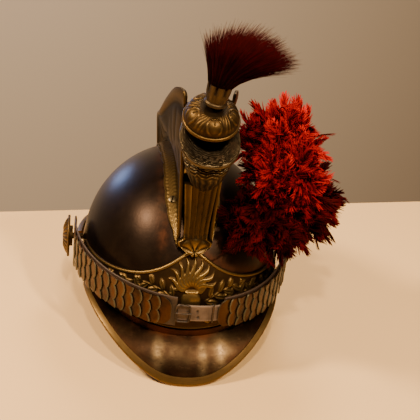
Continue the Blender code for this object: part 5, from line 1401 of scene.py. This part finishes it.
def make_scales(side, hand):
    """Each scale is a strip across the strap whose free edge has two lobes, or one and two halves.
    Its reach is 1 plus a power of the sine's size, and it lifts off the strap as it reaches."""
    number = np.arange(SCALES)[:, None, None]
    share = np.linspace(0.0, 1.0, 49)[:, None]
    reach = np.linspace(0.03, 1.0, 11)
    wave = np.where(number % 2 == 0, np.abs(np.sin(2.0 * math.pi * share)), np.abs(np.cos(2.0 * math.pi * share)))
    lobe = reach * (1.0 + SCALE_LOBE * 0.98 * wave ** 0.6)
    outer_angle = SCALE_FIRST_ANGLE + SCALE_PITCH * (number + 1)
    angle = side * (outer_angle - SCALE_PITCH * lobe) + (STRAP_SHIFT if side < 0 else 0.0)
    across = 2.0 * share - 1.0
    seat = STRAP_OFFSET + STRAP_THICKNESS + FIT_GAP
    dome = 0.0006 * np.sin(math.pi * reach) * wave ** 0.5
    rolled = np.exp(-((reach - 0.93) / 0.05) ** 2) * 0.0003
    lift = seat + SCALE_RISE * lobe
    outer = strap_point(angle, across, lift + SCALE_THICKNESS + dome + rolled)
    inner = strap_point(angle, across, lift)
    walls = [sheet(outer[k], inner[k]) for k in range(SCALES)]
    size = len(walls[0][0])
    points = np.concatenate([wall[0] for wall in walls])
    faces = np.concatenate([wall[1] + k * size for k, wall in enumerate(walls)])
    edge = np.broadcast_to(np.clip((reach - 0.86) / 0.12, 0.0, 1.0), lobe.shape)
    # Painted shade on the part of each scale that the next one's lobes cover.
    tuck = np.broadcast_to(np.clip((0.62 - reach) / 0.3, 0.0, 1.0) * np.clip(1.2 - np.abs(across), 0.3, 1.0), lobe.shape)
    marks = {}
    for mark, field in (("edge", edge), ("tuck", tuck)):
        flat = field.reshape(SCALES, -1)
        marks[mark] = np.concatenate([flat, flat], axis=1)
    nodes = ["strap_scale_%s_%02d" % (hand, k + 1) for k in range(SCALES)]
    put("strap_scales_" + hand, points, faces, SCALE_BRASS, nodes, marks, sharp=50.0)


def make_end_plate(side, hand):
    """Smooth plate that ends the scales, with a rounded free end and a slightly domed face."""
    share = np.linspace(0.0, 1.0, 41)[:, None]
    across = 2.0 * share - 1.0
    tip = END_PLATE_INNER_ANGLE + (SCALE_FIRST_ANGLE - END_PLATE_INNER_ANGLE) * 0.55 * across ** 4
    start = SCALE_FIRST_ANGLE - 0.03 * SCALE_PITCH
    reach = np.linspace(0.0, 1.0, 16)
    angle = side * (start + (tip - start) * reach) + (STRAP_SHIFT if side < 0 else 0.0)
    seat = STRAP_OFFSET + STRAP_THICKNESS + FIT_GAP
    lift = seat + SCALE_RISE * 0.24 * reach
    dome = 0.0005 * np.sin(math.pi * np.clip(reach, 0.0, 1.0)) * (1.0 - across ** 2)
    outer = strap_point(angle, across, lift + SCALE_THICKNESS + dome)
    inner = strap_point(angle, across, lift)
    points, faces = sheet(outer, inner)
    edge = np.broadcast_to(np.clip((reach - 0.93) / 0.06, 0.0, 1.0) * 0.5, angle.shape)
    # The end plates take an even share of the same darkening as their darker brown tone.
    marks = {"edge": np.tile(edge.ravel(), 2), "tuck": np.full(len(points), 0.40)}
    put("strap_end_plate_" + hand, points, faces, SCALE_BRASS, ["strap_end_" + hand], marks)


SCALE_BRASS = scale_brass()
for strap_side, strap_hand in ((-1, "right"), (1, "left")):
    make_scales(strap_side, strap_hand)
    make_end_plate(strap_side, strap_hand)


# The buckle is a bent iron frame with a prong, stitched to the right end of the strap. A thin iron
# keeper loops round the tongue at the other end.
BUCKLE_WIDTH = 0.008
BUCKLE_HEIGHT = 0.019
BUCKLE_WIRE = 0.0020
KEEPER_WIRE = 0.0011


def wire(path, radius, closed, sides=14):
    """Round wire along a path: at each point a circle across the path's own direction."""
    ahead = np.roll(path, -1, axis=0) - np.roll(path, 1, axis=0) if closed else np.gradient(path, axis=0)
    ahead = ahead / np.linalg.norm(ahead, axis=-1, keepdims=True)
    out = path - (AXIS_X, AXIS_Y, 0.0)
    out = out * (1.0, 1.0, 0.0)
    out = out / np.linalg.norm(out, axis=-1, keepdims=True)
    aside = np.cross(ahead, out)
    aside = aside / np.linalg.norm(aside, axis=-1, keepdims=True)
    lift = np.cross(aside, ahead)
    turn = np.linspace(0.0, 2.0 * math.pi, sides, endpoint=False)[:, None]
    rings = path[:, None] + radius * (aside[:, None] * np.cos(turn) + lift[:, None] * np.sin(turn))
    return tube(rings, closed)


def dark_iron():
    """Iron worn dark, with a little brown rust."""
    iron = Finish("dark_iron", Metallic=0.85)
    cloud = iron.noise(200.0, 5.0)
    base = iron.ramp(cloud, (0.35, (0.024, 0.016, 0.012)), (0.55, (0.060, 0.046, 0.036)), (0.72, (0.095, 0.054, 0.030)))
    iron.bump(cloud, 0.0003, 0.4)
    return iron.paint(base, 0.34 + cloud * 0.3)


def make_buckle():
    """Frame on a rounded rectangle whose corners are quarter turns of a power curve, and a prong."""
    turn = np.linspace(0.0, 2.0 * math.pi, 96, endpoint=False)
    middle = TAB_START_ANGLE + 2.6
    radius = HALF_LENGTH + STRAP_OFFSET + STRAP_THICKNESS
    flat = np.sign(np.cos(turn)) * np.abs(np.cos(turn)) ** 0.35 * (BUCKLE_WIDTH - BUCKLE_WIRE / 2)
    up = np.sign(np.sin(turn)) * np.abs(np.sin(turn)) ** 0.35 * (BUCKLE_HEIGHT - BUCKLE_WIRE) / 2
    offset = STRAP_OFFSET + STRAP_THICKNESS + FIT_GAP + BUCKLE_WIRE / 2
    path = strap_point(middle + np.degrees(flat / radius), 0.0, offset)
    path[:, 2] = strap_middle(middle) + up
    frame_points, frame_faces = wire(path, BUCKLE_WIRE / 2, True)
    reach = np.linspace(-0.95, 1.05, 24)
    prong = strap_point(middle + np.degrees(reach * BUCKLE_WIDTH / radius), 0.0,
                        offset + 0.0011 + 0.0005 * np.cos(reach * 1.5))
    prong[:, 2] = strap_middle(middle) + 0.0008
    prong_points, prong_faces = wire(prong, BUCKLE_WIRE * 0.42, False)
    points = np.concatenate([frame_points, prong_points])
    faces = np.concatenate([frame_faces, prong_faces + len(frame_points)])
    put("strap_buckle_frame", points, faces, IRON, ["strap_buckle"], weld=True, sharp=60.0)


def make_keeper():
    """Loop round the tongue: a rounded rectangle that stands across the strap."""
    angle = END_PLATE_INNER_ANGLE - 2.5
    turn = np.linspace(0.0, 2.0 * math.pi, 120, endpoint=False)
    half = TAB_WIDTH / 2 + FIT_GAP + KEEPER_WIRE / 2
    deep = STRAP_THICKNESS / 2 + FIT_GAP + KEEPER_WIRE / 2
    up = np.sign(np.sin(turn)) * np.abs(np.sin(turn)) ** 0.30 * half
    out = np.sign(np.cos(turn)) * np.abs(np.cos(turn)) ** 0.30 * deep
    path = strap_point(angle, 0.0, STRAP_OFFSET + STRAP_THICKNESS / 2 + out)
    path[:, 2] = strap_middle(angle) + up
    ahead = np.roll(path, -1, axis=0) - np.roll(path, 1, axis=0)
    ahead = ahead / np.linalg.norm(ahead, axis=-1, keepdims=True)
    aside = np.array((math.cos(math.radians(angle)), math.sin(math.radians(angle)), 0.0))
    lift = np.cross(ahead, aside)
    spin = np.linspace(0.0, 2.0 * math.pi, 12, endpoint=False)[:, None]
    rings = path[:, None] + KEEPER_WIRE / 2 * (aside * np.cos(spin) * 1.5 + lift[:, None] * np.sin(spin))
    points, faces = tube(rings, True)
    put("strap_keeper_loop", points, faces, IRON, ["strap_keeper"], sharp=60.0)


IRON = dark_iron()
make_buckle()
make_keeper()


# Each boss is a turned brass rosette with ribs between two rings. Its post goes through the strap's
# end to the skull, and the strap swings on it.
BOSS_RADIUS = 0.0205
BOSS_DEPTH = 0.0070
BOSS_POST_RADIUS = 0.0030
BOSS_HUB_RADIUS = 0.0100
BOSS_HEIGHT = 0.065
BOSS_RIBS = 22


def make_boss(side, hand):
    wall = float(on_skull(90.0, BOSS_HEIGHT, 0.0)[0]) - AXIS_X
    back = HALF_WIDTH + STRAP_OFFSET + STRAP_THICKNESS + FIT_GAP
    back += SCALE_RISE * (1.0 + SCALE_LOBE) + SCALE_THICKNESS + FIT_GAP - wall
    profile = np.array([(0.0, 1.0), (0.12, 0.99), (0.22, 0.93), (0.30, 0.90), (0.36, 0.95), (0.44, 0.92), (0.56, 0.80),
                        (0.68, 0.66), (0.78, 0.50), (0.84, 0.38), (0.88, 0.30), (0.93, 0.36), (0.98, 0.30),
                        (1.0, 0.16), (0.96, 0.0)])
    at = np.linspace(0.0, len(profile) - 1, 48)
    share, level = (np.interp(at, np.arange(len(profile)), profile[:, k])[:, None] for k in (0, 1))
    turn = np.linspace(0.0, 2.0 * math.pi, 176, endpoint=False)
    ribbed = np.clip((share - 0.36) / 0.05, 0.0, 1.0) * np.clip((0.86 - share) / 0.05, 0.0, 1.0)
    rib = (0.5 + 0.5 * np.cos(turn * BOSS_RIBS)) ** 0.8 * ribbed
    eye = np.exp(-((share - 0.14) / 0.05) ** 2)
    radius = BOSS_RADIUS * share * np.ones_like(turn)
    height = back + BOSS_DEPTH * (level - 0.10 * ribbed + 0.14 * rib)
    plain = np.ones((1, len(turn)))
    seat = back - 0.9 * (SCALE_RISE * (1.0 + SCALE_LOBE) + SCALE_THICKNESS)
    post = [(BOSS_HUB_RADIUS, back), (BOSS_HUB_RADIUS, seat), (BOSS_POST_RADIUS, seat),
            (BOSS_POST_RADIUS, 0.0), (0.0, 0.0)]
    radius = np.concatenate([radius, *(plain * r for r, _ in post)])
    height = np.concatenate([height, *(plain * h for _, h in post)])
    centre = (AXIS_X + side * wall, AXIS_Y, BOSS_HEIGHT)
    rings = turned(radius, height, centre, (float(side), 0.0, 0.0), turn)
    rim = np.exp(-((share - 0.95) / 0.04) ** 2)
    relief = np.clip(0.20 + 0.75 * rib + 0.6 * rim + 0.5 * eye + 0.35 * (share < 0.34), 0.0, 1.0)
    relief = np.concatenate([relief * plain] + [plain * 0.2] * len(post))
    faces = lattice(*rings.shape[:2], around=True)
    put("boss_rosette_" + hand, rings, faces, BINDING_BRASS, ["boss_" + hand],
        {"relief": relief}, weld=True, sharp=60.0)


make_boss(-1, "right")
make_boss(1, "left")


# The camera looks down from the front, a little from the wearer's right and rolled, as the
# photograph does. Its frame is square: so many pixels of focal length for 420 pixels of width.
AZIMUTH, ELEVATION, ROLL = (math.radians(a) for a in (-10.0, 28.0, 7.0))
DISTANCE = 0.90
FOCAL_PIXELS = 900.0
FRAME_PIXELS = 420.0
BROW_PIXEL = (178.0, 249.5)
SENSOR = 36.0


def make_camera():
    """The brow's middle point lands on its pixel: the camera's axis passes beside it by the pixel's
    distance from the frame's middle, scaled by distance over focal length."""
    back = Vector((math.sin(AZIMUTH) * math.cos(ELEVATION), -math.cos(AZIMUTH) * math.cos(ELEVATION),
                   math.sin(ELEVATION)))
    level = Vector((0.0, 0.0, 1.0)).cross(back).normalized()
    upright = back.cross(level)
    up = upright * math.cos(ROLL) - level * math.sin(ROLL)
    right = level * math.cos(ROLL) + upright * math.sin(ROLL)
    scale = DISTANCE / FOCAL_PIXELS
    middle = FRAME_PIXELS / 2
    aim = Vector((AXIS_X, AXIS_Y, BROW_HEIGHT))
    aim += right * (middle - BROW_PIXEL[0]) * scale + up * (BROW_PIXEL[1] - middle) * scale
    camera = bpy.data.cameras.new("camera")
    camera.lens = FOCAL_PIXELS / FRAME_PIXELS * SENSOR
    camera.sensor_width = SENSOR
    camera.clip_start = 0.05
    holder = bpy.data.objects.new("camera", camera)
    bpy.context.scene.collection.objects.link(holder)
    turn = Matrix((right, up, back)).transposed().to_4x4()
    holder.matrix_world = Matrix.Translation(aim + back * DISTANCE) @ turn
    bpy.context.scene.camera = holder


make_camera()


# A pale table top stands under the helmet, and its back edge is a little way behind it. The wall of
# the room is far behind. Soft lamps stand to the left, in front and to the right.
TABLE_TURN = 7.6
TABLE_SIDES = (-0.75, -0.70, 0.75, 0.178)
TABLE_THICKNESS = 0.03
WALL_DISTANCE = 1.5
WALL_SIZE = 4.0


def make_slab(name, low, high, turn, colour, right_falloff_colour, roughness):
    """Box between two corners, with its edges rounded, turned about Z in its own points. Its paint runs from one colour
    on the left to the other on the right, which on the wall is painted shade: the light's falloff towards the right."""
    work = bmesh.new()
    bmesh.ops.create_cube(work, size=1.0)
    size = Vector(high) - Vector(low)
    bmesh.ops.scale(work, vec=size, verts=work.verts)
    bmesh.ops.translate(work, vec=(Vector(low) + Vector(high)) / 2, verts=work.verts)
    bmesh.ops.bevel(work, geom=work.edges, offset=min(size) * 0.1, segments=3, profile=0.5, affect="EDGES")
    bmesh.ops.rotate(work, cent=(0.0, 0.0, 0.0), matrix=Matrix.Rotation(math.radians(turn), 3, "Z"), verts=work.verts)
    mesh = bpy.data.meshes.new(name)
    work.to_mesh(mesh)
    work.free()
    paint = Finish(name + "_paint", Metallic=0.0)
    ahead = paint.node("ShaderNodeSeparateXYZ", {}, {"Vector": paint.where}, out="X")
    mesh.materials.append(paint.paint(paint.mix(ahead.between(-1.2, 1.6), colour, right_falloff_colour), roughness))
    slab = bpy.data.objects.new(name, mesh)
    bpy.context.scene.collection.objects.link(slab)


def make_light(name, azimuth, elevation, distance, size, power, colour):
    """Round lamp at angles from the helmet's front and up from the table, aimed at the helmet."""
    aim = Vector((AXIS_X, AXIS_Y, 0.10))
    side, lift = math.radians(azimuth), math.radians(elevation)
    way = Vector((math.sin(side) * math.cos(lift), -math.cos(side) * math.cos(lift), math.sin(lift)))
    light = bpy.data.lights.new(name, "AREA")
    light.shape = "DISK"
    light.size = size
    light.energy = power
    light.color = colour
    holder = bpy.data.objects.new(name, light)
    bpy.context.scene.collection.objects.link(holder)
    holder.location = aim + way * distance
    holder.rotation_mode = "QUATERNION"
    holder.rotation_quaternion = way.to_track_quat("Z", "Y")


make_slab("table_top", (*TABLE_SIDES[:2], -TABLE_THICKNESS), (*TABLE_SIDES[2:], 0.0), TABLE_TURN,
          (0.78, 0.49, 0.215), (0.80, 0.52, 0.235), 0.6)
# The wall's paint darkens strongly to the right: painted shade for the light falling off across the room.
make_slab("room_wall", (-WALL_SIZE, WALL_DISTANCE, -2.0), (WALL_SIZE, WALL_DISTANCE + 0.1, 3.0), 0.0,
          (0.98, 0.82, 0.66), (0.24, 0.182, 0.130), 0.8)
make_light("left_lamp", -85.0, 44.0, 1.3, 0.20, 27.0, (1.0, 0.78, 0.52))
make_light("front_lamp", -8.0, 54.0, 1.3, 0.08, 11.0, (1.0, 0.80, 0.56))
make_light("right_lamp", 31.0, 47.0, 1.3, 0.09, 17.0, (1.0, 0.78, 0.52))
make_light("window", -150.0, 8.0, 1.5, 0.30, 4.0, (0.32, 0.50, 1.0))
make_light("back_lamp", 160.0, 50.0, 1.3, 0.5, 12.0, (1.0, 0.82, 0.60))
room = bpy.data.worlds.new("room")
room.use_nodes = True
room.node_tree.nodes["Background"].inputs["Color"].default_value = (0.52, 0.36, 0.22, 1.0)
room.node_tree.nodes["Background"].inputs["Strength"].default_value = 0.32
bpy.context.scene.world = room
